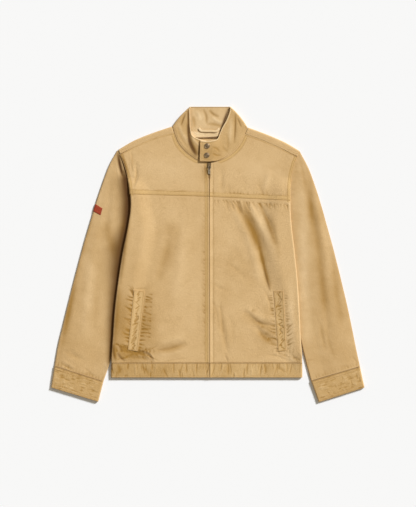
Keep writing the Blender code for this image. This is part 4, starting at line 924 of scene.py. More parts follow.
# ---- sleeves and cuffs
sleeve = {
    "rows": 320, "top": 84, "low": 16, "arc": 9, "high": 0.0026, "crown": 0.0016,
    "folds": {
        "left": [(0.2640, 0.2450, 0.2780, 0.1090, 0.3080, -0.0450, 0.0120, -0.0010),
                 (0.2790, 0.2150, 0.2980, 0.0700, 0.3290, -0.0900, 0.0110, 0.0010),
                 (0.3040, -0.0600, 0.3130, -0.1500, 0.3230, -0.2600, 0.0090, -0.0012)],
        "right": [(-0.2560, 0.2200, -0.2700, 0.0900, -0.2860, 0.0200, 0.0090, -0.0011),
                  (-0.2950, 0.0700, -0.3150, -0.0500, -0.3370, -0.1500, 0.0120, 0.0010),
                  (-0.3700, -0.2500, -0.3500, -0.2700, -0.3250, -0.2800, 0.0070, -0.0010)],
    },
    "creases": {
        "right": [
            (117.4, 152, 119.9, 165, 124.0, 181, 1.1, -0.90), (119.4, 152, 122.2, 165, 126.3, 179, 0.9, 0.40),
            (127, 178, 129.5, 192, 129.0, 212, 3.0, -0.90), (129.0, 200, 122.4, 240, 117.5, 285, 3.4, -0.90),
            (117.5, 280, 113.5, 325, 110.5, 364, 2.8, -0.60), (115.0, 156, 118.0, 172, 121.5, 190, 1.6, 0.45),
            (112.5, 196, 112.0, 222, 108.5, 250, 3.6, 0.25), (106, 214, 109.5, 234, 115, 256, 5.0, -0.28),
            (99, 176, 95, 205, 92, 235, 4.0, 0.35),
            (76, 262, 72, 295, 66, 330, 3.2, -0.55), (92, 262, 87, 300, 83, 340, 4.2, 0.45),
            (100, 270, 96, 310, 94, 350, 3.2, -0.25), (60.3, 362.8, 65.5, 365.8, 73, 370.0, 0.8, -0.60),
            (62, 359.5, 68, 363.5, 75, 368, 1.0, 0.45), (61.0, 366, 65, 368, 69, 369.5, 0.8, 0.40),
            (86, 372.8, 91, 374.4, 96, 375, 0.6, -0.40), (64, 350, 72, 356, 80, 358, 2.2, -0.30),
            (84, 367.5, 88, 371, 93, 375.5, 1.0, -0.40),
            (74, 372, 86, 374.5, 97, 378, 0.9, -0.30), (104.5, 362, 106.5, 366, 107.0, 372, 1.5, 0.45),
        ],
        "left": [
            (305.0, 180, 311.2, 209, 317.4, 244, 3.6, -0.30), (317.4, 236, 321.5, 272, 324.6, 312, 3.6, -0.34),
            (310, 184, 316.5, 207, 322, 238, 3.2, 0.25), (320, 322, 322.5, 337, 326, 352, 1.8, -0.45),
            (300, 160, 303, 175, 305.5, 188, 1.8, -0.35), (331, 250, 335.5, 285, 342, 325, 3.0, -0.25),
            (302.6, 359.9, 308, 360.2, 314.5, 359.8, 0.7, -0.35), (307.6, 360, 308.0, 365, 308.2, 370, 0.6, -0.30),
            (352, 356, 355, 360, 358.5, 363.5, 0.9, -0.35), (338, 366, 345, 366.5, 352, 364.5, 1.0, -0.25),
        ],
    },
    "under": [(118, 190, 100, 200, 92, 225, 2.5, 0.6), (110, 235, 98, 240, 88, 262, 2.5, 0.5),
              (80, 262, 90, 290, 84, 330, 3.0, 0.5), (66, 345, 78, 350, 96, 352, 2.0, 0.5)],
    "gathers": {
        "right": [(57.5, 366, 103, 381, 16, 285, 5.5, 0.8, -0.50), (119.5, 155, 128.5, 190, 7, 165, 4.0, 0.9, -0.25)],
        "left": [(316, 378, 358, 365.5, 16, 255, 5.0, 0.8, -0.42), (296, 157, 290, 197, 9, 5, 4.0, 0.9, -0.18)],
    },
    # soft patches of deeper colour, partly painted shade along the sleeves' edges and creases
    "dye": {
        "right": [(70, 285, 5, 30, 0.24), (66, 325, 5, 24, 0.26),
                  (60, 363, 8, 8, 0.10), (85, 350, 26, 16, 0.06)],
        "left": [(318, 240, 4, 30, 0.18), (323, 290, 5, 30, 0.14), (335, 310, 10, 40, 0.10), (311, 205, 2.4, 20, 0.22),
                 (335, 350, 22, 14, 0.08)],
    },
    # lines of deeper colour, painted shade along the sleeves' creases
    "dyeLines": {
        "right": [(97, 195, 86, 238, 74, 285, 2.6, 0.34), (76, 280, 67, 320, 58, 362, 2.8, 0.36),
                  (106, 220, 110, 238, 117, 260, 5.0, 0.30)],
        "left": [(303, 168, 311, 206, 318, 250, 4.6, 0.34), (317.5, 243, 322.5, 285, 327, 330, 4.4, 0.26),
                 (331, 250, 335.5, 285, 342, 325, 3.0, 0.18), (326, 330, 330, 345, 336, 360, 1.6, 0.20)],
    },
    # painted shade where the sleeve goes in under the body: lines in photo pixels, half width, amount
    "shade": {
        "right": [(117.4, 152, 119.9, 165, 124.0, 181, 1.6, 1.1), (121.2, 152, 124.6, 166, 128.6, 183, 1.4, 1.2)],
        "left": [(305.6, 186, 311.8, 209, 317.8, 240, 2.4, 0.06), (317.6, 238, 321.6, 272, 324.6, 308, 2.4, 0.05),
                 (302.4, 352, 303.6, 362, 306.5, 372, 1.0, 0.55)],
    },
    # the shadow deepens towards the body: y, x where it is deepest, half width, amount
    "hollow": [(166, 125.0, 2.4, 0.5), (180, 126.2, 6.8, 1.05), (200, 129.2, 8.0, 1.08), (225, 128.0, 7.4, 1.03),
               (250, 123.4, 12.0, 1.0), (268, 120.4, 10.5, 1.02), (285, 118.5, 8.5, 1.03), (320, 114.6, 6.3, 1.05),
               (350, 113.1, 5.0, 1.05), (378, 111.5, 3.4, 0.9)],
    # patches made paler by painted highlight on the sleeves' crowns
    "pale": {
        "right": [(102, 190, 8, 30, 0.30), (90, 290, 7, 40, 0.35), (106, 366, 3, 7, 0.45)],
        "left": [(302, 215, 5, 40, 0.60), (330, 245, 8, 34, 0.24), (304, 270, 5, 44, 0.85), (308, 325, 5, 30, 0.34)],
    },
}
cuff = {
    "deep": 0.057, "lift": 0.0038, "wrinkles": 90, "seeds": {"left": 5, "right": 6},
    # outer fold x, y, inner fold x, y, at the seam and at the mouth
    "right": [(-0.4062, -0.2952, -0.2765, -0.3363), (-0.4151, -0.3524, -0.2903, -0.3901)],
    "left": [(0.4029, -0.2965, 0.2731, -0.3350), (0.4151, -0.3524, 0.2932, -0.3912)],
}


def tubeGrid(table, v, height, thick, reach, top, low, arc):
    # flattened tube between two folds: around it first, then along it; lean is 1 on top and -1 below
    table = np.array(table)
    rows = hermite(np.linspace(0, 1, len(table)), table, v)
    outer, inner = rows[:, :2], rows[:, 2:]
    width = np.linalg.norm(inner - outer, axis=1)
    way = (inner - outer) / width[:, None]

    def half(count, steps):
        angles = np.radians(np.linspace(0, 90, steps))
        near = thick / 2 + reach * (1 - np.cos(angles))
        k = np.linspace(0, 1, count + 2)[1:-1]
        fixed = np.concatenate([near, near[-1] * (1 - 2 * k), -near[::-1]])
        scaled = np.concatenate([near * 0, k, near * 0 + 1])
        lean = np.concatenate([np.sin(angles), k * 0 + 1, np.sin(angles[::-1])])
        return fixed, scaled, lean

    fixed, scaled, lean = half(top, arc)
    lowFixed, lowScaled, lowLean = [a[::-1][1:-1] for a in half(low, max(4, arc // 2))]
    fixed, scaled = np.concatenate([fixed, lowFixed]), np.concatenate([scaled, lowScaled])
    lean = np.concatenate([lean, -lowLean])[:, None]
    far = fixed[:, None] + scaled[:, None] * width[None]
    x, y = outer[None, :, 0] + way[None, :, 0] * far, outer[None, :, 1] + way[None, :, 1] * far
    share = far / width[None]
    z = thick / 2 + height(share, x, y) * (1 + lean) / 2 + slack(x, y)
    return stack(x, y, z), share, lean, way


def sleeveGrid(side, v, top, low, arc):
    def height(s, x, y):
        open_ = smooth((sides[side] * (x - foldX(side, np.minimum(y, 0.15))) - 0.004) / 0.012)
        folds = 0.7 * creases(x, y, sleeve["folds"][side]) * smooth(np.minimum(s, 0.95 - s) / 0.12)
        hump = np.where(s < 0.72, np.sin(np.pi * upTo(s, 0.72)), 0.0)
        return sleeve["high"] + sleeve["crown"] * hump * smooth(v[None] / 0.12) + folds * open_

    grid, share, lean, way = tubeGrid(sleeves[side], v, height, wall, 0.0026, top, low, arc)
    inward = np.stack([-sides[side] * np.abs(way[:, 1]), np.abs(way[:, 0])], 1)
    grid[..., :2] += inward[None] * armBow(share, v[None])[..., None]
    return grid, lean


def makeSleeve(side, sign):
    v = spread(0.62, 0.62 / sleeve["rows"])
    grid, lean = outward(*sleeveGrid(side, v, sleeve["top"], sleeve["low"], sleeve["arc"]))
    x, y = grid[..., 0], grid[..., 1]
    up = np.clip(lean, 0, 1) ** 2
    free = smooth((sign * (x - foldX(side, np.minimum(y, 0.15))) + 0.004) / 0.010)
    large = creases(x, y, fromPhoto(sleeve["creases"][side]), 8) * free
    fine = creases(x, y, puckers(sleeve["gathers"][side]), 4, root=True) * free
    # painted shade: the colour deepens in the hollows of the creases and gathers
    dye = 0.14 + 0.55 * upTo(-large, 0.0011) + 0.6 * upTo(-fine, 0.0005)
    dye = (dye + blobs(x, y, sleeve["dye"][side]) + inked(x, y, sleeve["dyeLines"][side])) * up
    shade = inked(x, y, sleeve["shade"][side])
    # painted shadow of the body on the right sleeve, which also deepens the colour
    if side == "right":
        rows = np.array(sleeve["hollow"])
        px, py = shot["zeroX"] + x / shot["pixel"], shot["zeroY"] - y / shot["pixel"]
        middle, half, amount = [np.interp(py, rows[:, 0], rows[:, k]) for k in (1, 2, 3)]
        deep = amount * bell(px - middle, half) * smooth((py - 160) / 12)
        shade, dye = np.maximum(shade, deep), dye + 0.6 * deep * up
    shade = np.clip(shade, 0, 1) * up
    if side == "left":  # painted shade: the outer fold is a little darker than the top of the sleeve
        dye = dye + 0.8 * (1 - up) * (lean > -0.3)
    wear = np.clip(0.6 * upTo(large, 0.0009) + blobs(x, y, sleeve["pale"][side]), 0, 0.9) * up
    under = np.clip(-lean, 0, 1) ** 2  # the hidden side has soft creases too, with painted shade in their hollows
    hollow = -np.abs(creases(-sign * x, y, fromPhoto(sleeve["under"]), 8)) * under
    piece = gridShell(f"sleeve_cloth_{side}", grid, wall, twill, around=True, relief=(large + fine) * up + hollow,
                      dye=dye + 0.5 * upTo(-hollow, 0.0006), wear=wear, shade=shade)
    lay(piece, [f"sleeve_{side}"])


def cuffWrinkles(side):  # fine creases that run round the cuff, and a few that cross it
    rng = np.random.default_rng(cuff["seeds"][side])
    seam, mouth = np.array(cuff[side])
    rows = []
    for k in range(cuff["wrinkles"]):
        s, t = rng.uniform(0.05, 0.9), rng.uniform(0.06, 0.94)
        a = seam[:2] * (1 - t) + mouth[:2] * t
        b = seam[2:] * (1 - t) + mouth[2:] * t
        place, way = a + (b - a) * s, (b - a) / np.linalg.norm(b - a)
        if k % 6 == 0:
            way = np.array([way[1], -way[0]])
        long = rng.uniform(0.006, 0.018)
        c, d = place - way * long / 2, place + way * long / 2
        rows.append((*c, *(place + rng.uniform(-0.0016, 0.0016, 2)), *d, rng.uniform(0.0009, 0.0018),
                     rng.choice([-1, -1, 1]) * rng.uniform(0.00012, 0.00048)))
    return rows


def makeCuff(side):
    v = spread(cuff["deep"], 0.0015, 0.0016)
    table = np.array(cuff[side])
    table[0] -= (table[1] - table[0]) * 0.011  # the cuff covers the sleeve's raw end
    grid, _, lean, _ = tubeGrid(table, v, lambda s, x, y: cuff["lift"], bandWall, 0.0030, 84, 20, 9)
    grid, lean = outward(grid, lean)
    x, y = grid[..., 0], grid[..., 1]
    up = np.clip(lean, 0, 1) ** 2
    down = np.broadcast_to(v[None], x.shape)
    edge = 0.5 - np.abs(down - 0.5)
    groove = grooveAt(edge * cuff["deep"] - 0.0030) + grooveAt(edge * cuff["deep"] - 0.0085)
    fine = creases(x, y, cuffWrinkles(side), 4)
    # painted shade in the hollows of the wrinkles and in the stitch grooves
    dye = (0.18 + 0.52 * upTo(-fine, 0.0004) + 0.34 * np.clip(groove, 0, 1)) * up
    # painted shade along the seam to the sleeve
    seam = 0.90 * bell(down * cuff["deep"], 0.0019) * up
    piece = gridShell(f"cuff_cloth_{side}", grid, bandWall, bandTwill, around=True, every=2, rim=0.0014,
                      relief=(fine - 0.00025 * groove) * up, dye=dye, wear=np.clip(fine / 0.0005, 0, 0.4) * up,
                      gold=0.25 * up, shade=seam)
    lay(piece, [f"cuff_{side}"])


for side, sign in sides.items():
    makeSleeve(side, sign)
    makeCuff(side)
print("sleeves and cuffs made")


# ---- hem band
hem = {
    "top": -0.2875, "bottom": -0.3260, "every": 0.0052, "depth": 0.00068, "half": 0.0014,
    "creases": [(227.7, 363, 228.4, 369, 228.0, 375.5, 1.1, -0.60), (264.5, 364, 265.5, 369, 264.5, 375, 1.2, -0.50),
                (262.6, 364, 263.2, 369, 262.4, 375, 0.8, 0.35), (276, 366, 281, 369, 287, 373, 1.2, -0.35),
                (118, 364, 119.5, 369, 118.5, 375, 1.3, -0.40), (141, 366, 146, 370, 149, 375, 1.2, -0.35)],
    "dye": [(268, 369, 6, 8, 0.20), (120, 369, 9, 8, 0.34), (150, 370, 34, 9, 0.30), (200, 369, 8, 8, 0.12)],
}


def hemGrid(step=0.0016):
    low, high = hem["bottom"], hem["top"] - seamGap / 2
    y = low + (high - low) * spread(high - low, step, 0.0016)
    angles = np.radians(np.linspace(90, -90, 15))
    rows, ups = [], []

    def levels(x):
        back = bandWall / 2 + lift(x, y)
        return back, back + bandWall + layers["bandLayGap"]

    def flank(side):
        sign = sides[side]
        edge = foldX(side, y) - sign * bandWall / 2
        back, front = levels(edge - sign * 0.003)
        for a in angles if side == "right" else angles[::-1]:
            rows.append(stack(edge - sign * 0.003 * (1 - np.cos(a)), y,
                              (front + back) / 2 + (front - back) / 2 * np.sin(a)))
            ups.append(np.sin(a))

    def front(x, sign):
        moved, rise = placket(x, y, sign)
        rows.append(stack(moved, y, levels(x)[1] + rise))
        ups.append(1.0)

    half = body["zipHalf"]
    startR, startL = zipX(y) - half, zipX(y) + half
    inR = foldX("right", y) + bandWall / 2 + 0.003
    inL = foldX("left", y) - bandWall / 2 - 0.003
    shares = spread(0.255, step, 0.0016, end=False)
    for u in shares[:-1]:
        front(startR + (inR - startR) * u, -1.0)
    flank("right")
    for u in np.linspace(0, 1, 122)[1:-1]:
        x = inR + (inL - inR) * u
        rows.append(stack(x, y, levels(x)[0]))
        ups.append(-1.0)
    flank("left")
    for u in shares[::-1][1:]:
        front(startL + (inL - startL) * u, 1.0)
    return np.array(rows)[::-1], np.array(ups)[::-1, None]


def makeHem():
    grid, up = hemGrid()
    x, y = grid[..., 0], grid[..., 1]
    rng = np.random.default_rng(21)
    rows, at = [], -0.256
    while at < 0.25:  # the gathers of the band, one about every five pixels
        lean, cut = rng.uniform(-0.016, 0.016), rng.uniform(0.30, 0.95)
        high, low = hem["top"] + 0.003, hem["top"] - (hem["top"] - hem["bottom"] + 0.004) * cut
        if rng.uniform() < 0.3:
            high, low = hem["bottom"] - 0.002, hem["bottom"] + 0.030 * cut
        bow = rng.uniform(-0.0015, 0.0015)
        rows.append((at, high, at + lean * cut / 2 + bow, (high + low) / 2, at + lean * cut, low,
                     hem["half"] * rng.uniform(0.5, 1.4), -hem["depth"] * rng.uniform(-0.8, 1.2)))
        at += hem["every"] * rng.uniform(0.4, 1.5)
    gathers = creases(x, y, rows, 6)
    large = creases(x, y, fromPhoto(hem["creases"]), 6) * (up > 0.5)
    line = grooveAt(hem["top"] - 0.0022 - y) + grooveAt(y - hem["bottom"] - 0.0045)
    relief = gathers * np.where(up > 0, 1.0, 0.5) + large - 0.00022 * line
    # painted shade in the hollows of the gathers and creases and in the stitch grooves, with darker patches
    dye = 0.10 + 0.50 * upTo(-(gathers + large), 0.0006) + blobs(x, y, hem["dye"]) * (up > 0) + 0.2 * line
    wear = np.clip(0.1 + (gathers + large) / 0.0009, 0, 0.3)
    # painted shade along the top of the band, under the front's lower edge
    shade = 0.55 * bell(hem["top"] - y, 0.0013)
    piece = gridShell("hem_cloth", grid, bandWall, bandTwill, every=2, rim=0.0009, relief=relief, dye=dye, wear=wear,
                      gold=0.30, shade=np.broadcast_to(shade, x.shape))
    lay(piece, ["hem_band"])


makeHem()
print("hem band made")


# ---- collar, facing, hanger loop
collar = {
    "mid": 0.0060, "backMid": 0.0015, "tabRise": 0.0034, "deep": 0.058, "shown": 0.056,
    # side fold to front end: neck edge x, y, top edge x, y, rise share
    "right": [(-0.0940, 0.3385, -0.0473, 0.3914, 0), (-0.0893, 0.3220, -0.0473, 0.3697, 0),
              (-0.0787, 0.2957, -0.0465, 0.3405, 0), (-0.0629, 0.2760, -0.0433, 0.3193, 0),
              (-0.0444, 0.2602, -0.0341, 0.3106, 0), (-0.0233, 0.2484, -0.0208, 0.3053, 0),
              (0.0004, 0.2446, 0.0004, 0.3000, 0), (0.0090, 0.2446, 0.0090, 0.2985, 0)],
    "left": [(0.1054, 0.3360, 0.0600, 0.3914, 0), (0.0979, 0.3180, 0.0574, 0.3776, 0),
             (0.0874, 0.2960, 0.0494, 0.3564, 0), (0.0716, 0.2761, 0.0375, 0.3352, 0),
             (0.0505, 0.2594, 0.0309, 0.3190, 0.05), (0.0268, 0.2486, 0.0250, 0.3065, 0.50),
             (0.0083, 0.2462, 0.0130, 0.3020, 1), (-0.0100, 0.2458, -0.0050, 0.3003, 1),
             (-0.0221, 0.2462, -0.0205, 0.3021, 1)],
    # painted shade beside the collar's raised edges and folds, and a painted shadow of the left front on the inner
    # side: x, y three times and half width as for the creases, then amount
    "shadeRight": [(187.8, 107, 188.4, 120, 188.6, 134, 1.1, 0.85), (188.4, 124, 189.8, 142, 196.8, 157, 1.4, 1.00),
                   (186.0, 113, 183.6, 119, 181.0, 126, 0.7, 0.40), (189, 138, 192, 147, 197.5, 156, 2.2, 0.45),
                   (199.2, 143, 199.0, 152, 199.4, 163, 1.0, 1.00)],
    "shadeLeft": [(235.2, 113, 235.2, 127, 234.2, 143, 0.7, 0.30), (237.2, 118, 239, 122, 241.2, 127.5, 0.6, 0.24)],
    "shadeBack": [(191.0, 108, 192.0, 121, 191.2, 134, 0.8, 0.20), (203, 109, 206, 115, 206.5, 124, 0.8, 0.16),
                  (209, 110, 213, 114, 219, 117, 0.8, 0.18), (229.2, 107, 223.8, 122, 218.4, 138, 1.3, 1.05)],
    "creasesRight": [(188.0, 109, 189.2, 120, 189.4, 134, 1.2, -0.90), (189.4, 128, 190.4, 141, 198, 155, 1.6, -0.90),
                     (190.6, 108, 191.8, 120, 191.0, 132, 0.9, 0.60), (190.8, 130, 192.6, 138, 200, 147, 1.2, 0.60),
                     (185, 113.5, 183.2, 119, 181, 126, 1.0, -0.60), (188, 118, 187, 128, 188.5, 140, 1.3, -0.35),
                     (178, 122, 182, 133, 190, 143, 1.8, 0.35), (190, 143, 193, 149, 197.5, 155.5, 1.0, -0.55),
                     (177, 127, 181, 138, 188, 148, 1.2, -0.25)],
    "creasesLeft": [(235.2, 113, 235.2, 127, 234.2, 144, 1.0, -0.65), (237.2, 118, 239, 122, 241.2, 127.5, 0.9, -0.50),
                    (231, 118, 230.5, 130, 229, 144, 1.8, 0.35), (212.5, 153.5, 216, 155.3, 221, 155.6, 0.9, -0.50),
                    (212, 147, 216, 148.5, 220, 152, 0.9, -0.40), (222, 146, 225, 150, 229, 153, 1.1, -0.30),
                    (201.5, 158.5, 206, 160, 211, 160.2, 0.8, -0.30), (226, 133, 228, 142, 227, 152, 1.4, -0.30)],
    "dyeRight": [(193, 150, 5, 8, 0.16), (182, 119, 4, 8, 0.12)],
    "dyeLeft": [(212, 152, 12, 9, 0.36), (236, 128, 3, 16, 0.18)],
    "loop": [(-0.0235, 0.3346, 0.0), (-0.0190, 0.3284, 0.0006), (-0.0080, 0.3270, 0.0010), (0.0080, 0.3267, 0.0010),
             (0.0240, 0.3274, 0.0008), (0.0305, 0.3340, 0.0)],
    "creasesBack": [(196, 110, 199, 115, 200, 121, 1.6, 0.40), (203, 109, 206, 115, 206.5, 124, 1.3, -0.45),
                    (209, 110, 213, 114, 219, 117, 1.3, -0.50), (212, 117, 217, 121, 224, 123, 1.4, 0.45),
                    (206, 124, 214, 124.5, 223, 127, 1.3, -0.40), (193, 116, 194, 122, 195, 128, 1.4, -0.35)],
}


def collarGrid(steps, frontCount, backCount):
    # right front, back of the neck and left front in turn; where says which, and 3 is a side fold
    v = steps[:, None]
    rows, where = [], []

    def span(low, high, z, part):
        rows.append(np.concatenate([low + (high - low) * v, np.zeros((len(v), 1)) + z], 1))
        where.append(part)

    def half(table, order, part):
        table = np.array(table)
        for t in order:
            r = hermite(np.linspace(0, 1, len(table)), table, np.array([t]))[0]
            lower = 0.0010 * (1 - np.clip(r[4] * 1.4, 0, 1)) * smooth(1 - v / 0.16)  # down to the yoke at the seam
            span(r[:2], r[2:4], collar["mid"] + collar["tabRise"] * np.clip(r[4], 0, 1) - lower, part)

    def turn(table, sign, order):
        low, high = np.array(table[0][:2]), np.array(table[0][2:4])
        way = (high - low) / np.linalg.norm(high - low)
        out = np.array([sign * way[1], -sign * way[0]])
        radius = (collar["mid"] - collar["backMid"]) / 2
        for a in order:
            shift = -(bandWall / 2 + radius * (1 - np.cos(a))) + 0.003 * np.sin(np.pi * v)
            z = collar["backMid"] + radius * (1 + np.sin(a))
            rows.append(np.concatenate([low + (high - low) * v + out * shift, np.full((len(v), 1), z)], 1))
            where.append(3)

    quarter = np.radians(np.linspace(90, -90, 13))
    half(collar["right"], 1 - spread(0.19, 0.19 / frontCount, 0.0016, end=False)[:-1], 0)
    turn(collar["right"], -1, quarter)
    for t in np.linspace(0, 1, backCount + 2)[1:-1]:
        span(along(backNeck, t), np.array([-0.0473 + (0.06 + 0.0473) * t, 0.3914]), collar["backMid"], 1)
    turn(collar["left"], 1, quarter[::-1])
    half(collar["left"], spread(0.20, 0.20 / frontCount, 0.0016, start=False)[1:], 2)
    return np.array(rows)[::-1], np.array(where)[::-1, None]


def repaint(piece, key, where, amounts):  # gives some of a piece's points other amounts of one colour
    layer = piece.data.attributes[key].data
    values = np.zeros(len(layer), np.float32)
    layer.foreach_get("value", values)
    values[where] = amounts
    layer.foreach_set("value", values)


def makeCollar():
    v = spread(collar["deep"], 0.0016, 0.0016)
    grid, part = collarGrid(v, 110, 90)
    x, y = grid[..., 0], grid[..., 1]
    right, back, left = part == 0, part == 1, part == 2
    fromTop = (1 - v[None]) * collar["shown"]
    tables = {k: creases(x, y, fromPhoto(collar[k]), 8) for k in ("creasesRight", "creasesLeft", "creasesBack")}
    front = tables["creasesRight"] * right + tables["creasesLeft"] * left
    front = front + 0.0007 * bell(fromTop - 0.0012, 0.0016) * (part != 1)
    edge = np.minimum(np.broadcast_to(v[None], x.shape), 1 - v[None]) * collar["deep"]
    topLine = grooveAt(fromTop - 0.0045) * np.ones(x.shape)
    topRim = bell(fromTop - 0.0010, 0.0018) * np.ones(x.shape)
    inner = tables["creasesBack"] * back * smooth(edge / 0.004)
    # painted shade along the folds and beside the raised edges of the collar
    shade = inked(x, y, collar["shadeRight"]) * right + inked(x, y, collar["shadeLeft"]) * left
    # painted shade: the colour deepens in the hollows of the creases and along the top stitch groove
    dye = 0.05 + 0.5 * upTo(-front, 0.0006) + 0.15 * topLine
    dye += left * blobs(x, y, collar["dyeLeft"])
    dye += right * blobs(x, y, collar["dyeRight"])
    # ridges and the top rim are made paler, partly worn and partly painted highlight
    wear = np.clip(front / 0.0008, 0, 0.5) + topRim * np.where(back, 0.1, 0.9)
    dye = dye * (1 - 0.8 * topRim) + 0.4 * topRim * back
    piece = gridShell("collar_cloth", grid, bandWall, bandTwill, every=1, rim=0.0009, relief=front - 0.0002 * topLine,
                      inside=inner, dye=dye, wear=wear, gold=0.15,
                      shade=np.clip(shade * (1 - topRim), 0, 0.9))
    # the inner side shows at the back of the neck, so it gets its own hollows and ridges, with painted shade in the
    # hollows, paler ridges and a painted shade line under the top edge
    places = np.zeros(len(piece.data.vertices) * 3)
    piece.data.vertices.foreach_get("co", places)
    places = places.reshape(-1, 3)
    shown = (np.arange(len(places)) >= x.size) & (places[:, 2] < 0.0042)
    px, py = places[shown, 0], places[shown, 1]
    field = creases(px, py, fromPhoto(collar["creasesBack"]), 8)
    repaint(piece, "dye", shown, 0.5 * upTo(-field, 0.0006))
    repaint(piece, "wear", shown, np.clip(0.28 + field / 0.0010, 0, 0.7))
    # painted shade line along the top edge, on the inner side
    edgeLine = 0.55 * bell(0.3903 - py, 0.0014)
    repaint(piece, "shade", shown, np.clip(inked(px, py, collar["shadeBack"]) + edgeLine, 0, 0.9))
    lay(piece, ["collar"])


def makeFacing():
    deep = 0.0182
    down = spread(deep, 0.0015, 0.0009)
    rows = []
    for t in spread(0.16, 0.0022, 0.0009) * 0.76 + 0.12:
        fx, fy = along(backNeck, t)
        rows.append(stack(np.full(down.shape, fx), fy + 0.0010 - deep * down, wall + layers["restGap"] + 0.0006))
    grid = np.array(rows)[::-1]
    x = grid[..., 0]
    low = np.broadcast_to(down[None], x.shape)
    # painted shadow on the lower edge of the facing, where it goes in under the collar's front
    piece = gridShell("facing_cloth", grid, 0.0012, bandTwill, every=2, rim=0.0006, wear=0.80 * (low < 0.8),
                      shade=0.9 * smooth((low - 0.72 + 0.10 * x / 0.03) / 0.1))
    lay(piece, ["neck_facing"])


def makeLoop():
    wide = 0.0056
    centre = along(collar["loop"], spread(0.070, 0.0009, 0.0007))
    way = np.gradient(centre[:, :2], axis=0)
    way /= np.linalg.norm(way, axis=1)[:, None]
    across = np.stack([-way[:, 1], way[:, 0]], 1)
    k = (spread(wide, 0.0007, 0.0007) - 0.5) * wide
    grid = np.stack([c[None, :] + np.stack([a[0] * k, a[1] * k, k * 0 + 0.0045], 1) for c, a in zip(centre, across)])
    piece = gridShell("loop_cloth", grid, 0.0014, bandTwill, every=1, rim=0.0007, wear=0.85)
    lay(piece, ["hanger_loop"])


makeCollar()
makeFacing()
makeLoop()
print("collar made")


# ---- pocket welts and the plain sleeve tab
welt = {"wall": 0.0010, "rise": 0.00030, "depth": 0.00095, "every": 0.0082, "seeds": {"left": 31, "right": 32}}


def makeWelts():
    for side in sides:
        outerTop, innerTop, outerLow, innerLow = [np.array(p) for p in welts[side]]
        u, v = spread(0.026, 0.0013, 0.0009), spread(0.158, 0.0013, 0.0009)
        uu, vv = u[:, None, None], v[None, :, None]
        plan = ((1 - uu) * (1 - vv) * outerLow + uu * (1 - vv) * innerLow + (1 - uu) * vv * outerTop
                + uu * vv * innerTop)
        x, y = plan[..., 0], plan[..., 1]
        z = frontZ(x, y) + wall / 2 + welt["rise"]
        rng = np.random.default_rng(welt["seeds"][side])
        rows, at = [], -0.252
        while at < -0.100:  # slanting crinkles between the two edge rows
            t = (at + 0.2545) / 0.159
            c = (innerLow + outerLow) / 2 * (1 - t) + (innerTop + outerTop) / 2 * t + [rng.uniform(-0.002, 0.002), 0]
            lean = rng.uniform(0.3, 1.7) * rng.choice([1, 1, -0.8])
            w = 0.0080 * rng.uniform(0.3, 1.05)
            rows.append((c[0] - w, c[1] - w * lean, c[0], c[1] + rng.uniform(-0.001, 0.001), c[0] + w, c[1] + w * lean,
                         rng.uniform(0.0009, 0.0018), -welt["depth"] * rng.uniform(0.3, 1.25)))
            at += welt["every"] * rng.uniform(0.55, 1.15)
        fine = creases(x, y, rows, 5)
        edge = np.minimum(np.minimum(u, 1 - u)[:, None] * 0.026, np.minimum(v, 1 - v)[None] * 0.158)
        groove = bell(edge - 0.0024, 0.0008)
        inner = smooth((edge - 0.0008) / 0.002)
        # painted shade in the hollows of the crinkles and in the stitch grooves
        dye = 0.18 + 0.75 * upTo(-fine, 0.0005) * inner + 0.40 * groove
        wear = np.clip(0.45 * inner * (1 - upTo(-fine, 0.0003)), 0, 0.6)
        grid = stack(x, y, z)
        layersUp = {"dye": dye, "wear": wear, "gold": np.full(x.shape, 0.3)}
        relief = fine * inner - 0.00022 * groove
        if side == "left":
            grid, relief = grid[::-1], relief[::-1]
            layersUp = {k: a[::-1] for k, a in layersUp.items()}
        piece = gridShell(f"welt_cloth_{side}", grid, welt["wall"], twill, every=2, rim=0.0008, relief=relief,
                          **layersUp)
        lay(piece, [f"pocket_welt_{side}"])


def makeTab():  # follows a finer grid of the right sleeve
    v = spread(0.62, 0.0012)
    fine = outward(sleeveGrid("right", v, 110, 10, 12)[0])[0]
    n = normalsOf(fine, True)
    edge = fine[np.argmin(fine[:, len(v) // 3, 0])]
    keep = [j for j in range(len(v)) if 0.1132 < edge[j, 1] < 0.1335]
    mid = keep[len(keep) // 2]
    column = sorted([i for i in range(len(fine)) if fine[i, mid, 2] > wall / 2 + 0.0012], key=lambda i: fine[i, mid, 0])
    column = [i for i in column if fine[i, mid, 0] - fine[column[0], mid, 0] < 0.0185]
    grid = (fine + n * (wall / 2 + layers["restGap"] + 0.0004))[np.ix_(column, keep)]
    if normalsOf(grid, False)[len(column) - 1, 0, 2] < 0:
        grid = grid[:, ::-1]
    shape = grid.shape[:2]
    u, w = np.linspace(0, 1, shape[0])[:, None], np.linspace(0, 1, shape[1])[None]
    border = np.minimum(np.minimum(u, 1 - u) * 0.024, np.minimum(w, 1 - w) * 0.022)
    piece = gridShell("tab_cloth", grid, 0.0008, tabRed, every=1, rim=0.0004,
                      relief=-0.00012 * bell(border - 0.0016, 0.0006), dye=0.3 * (border < 0.0012))
    lay(piece, ["sleeve_label"])


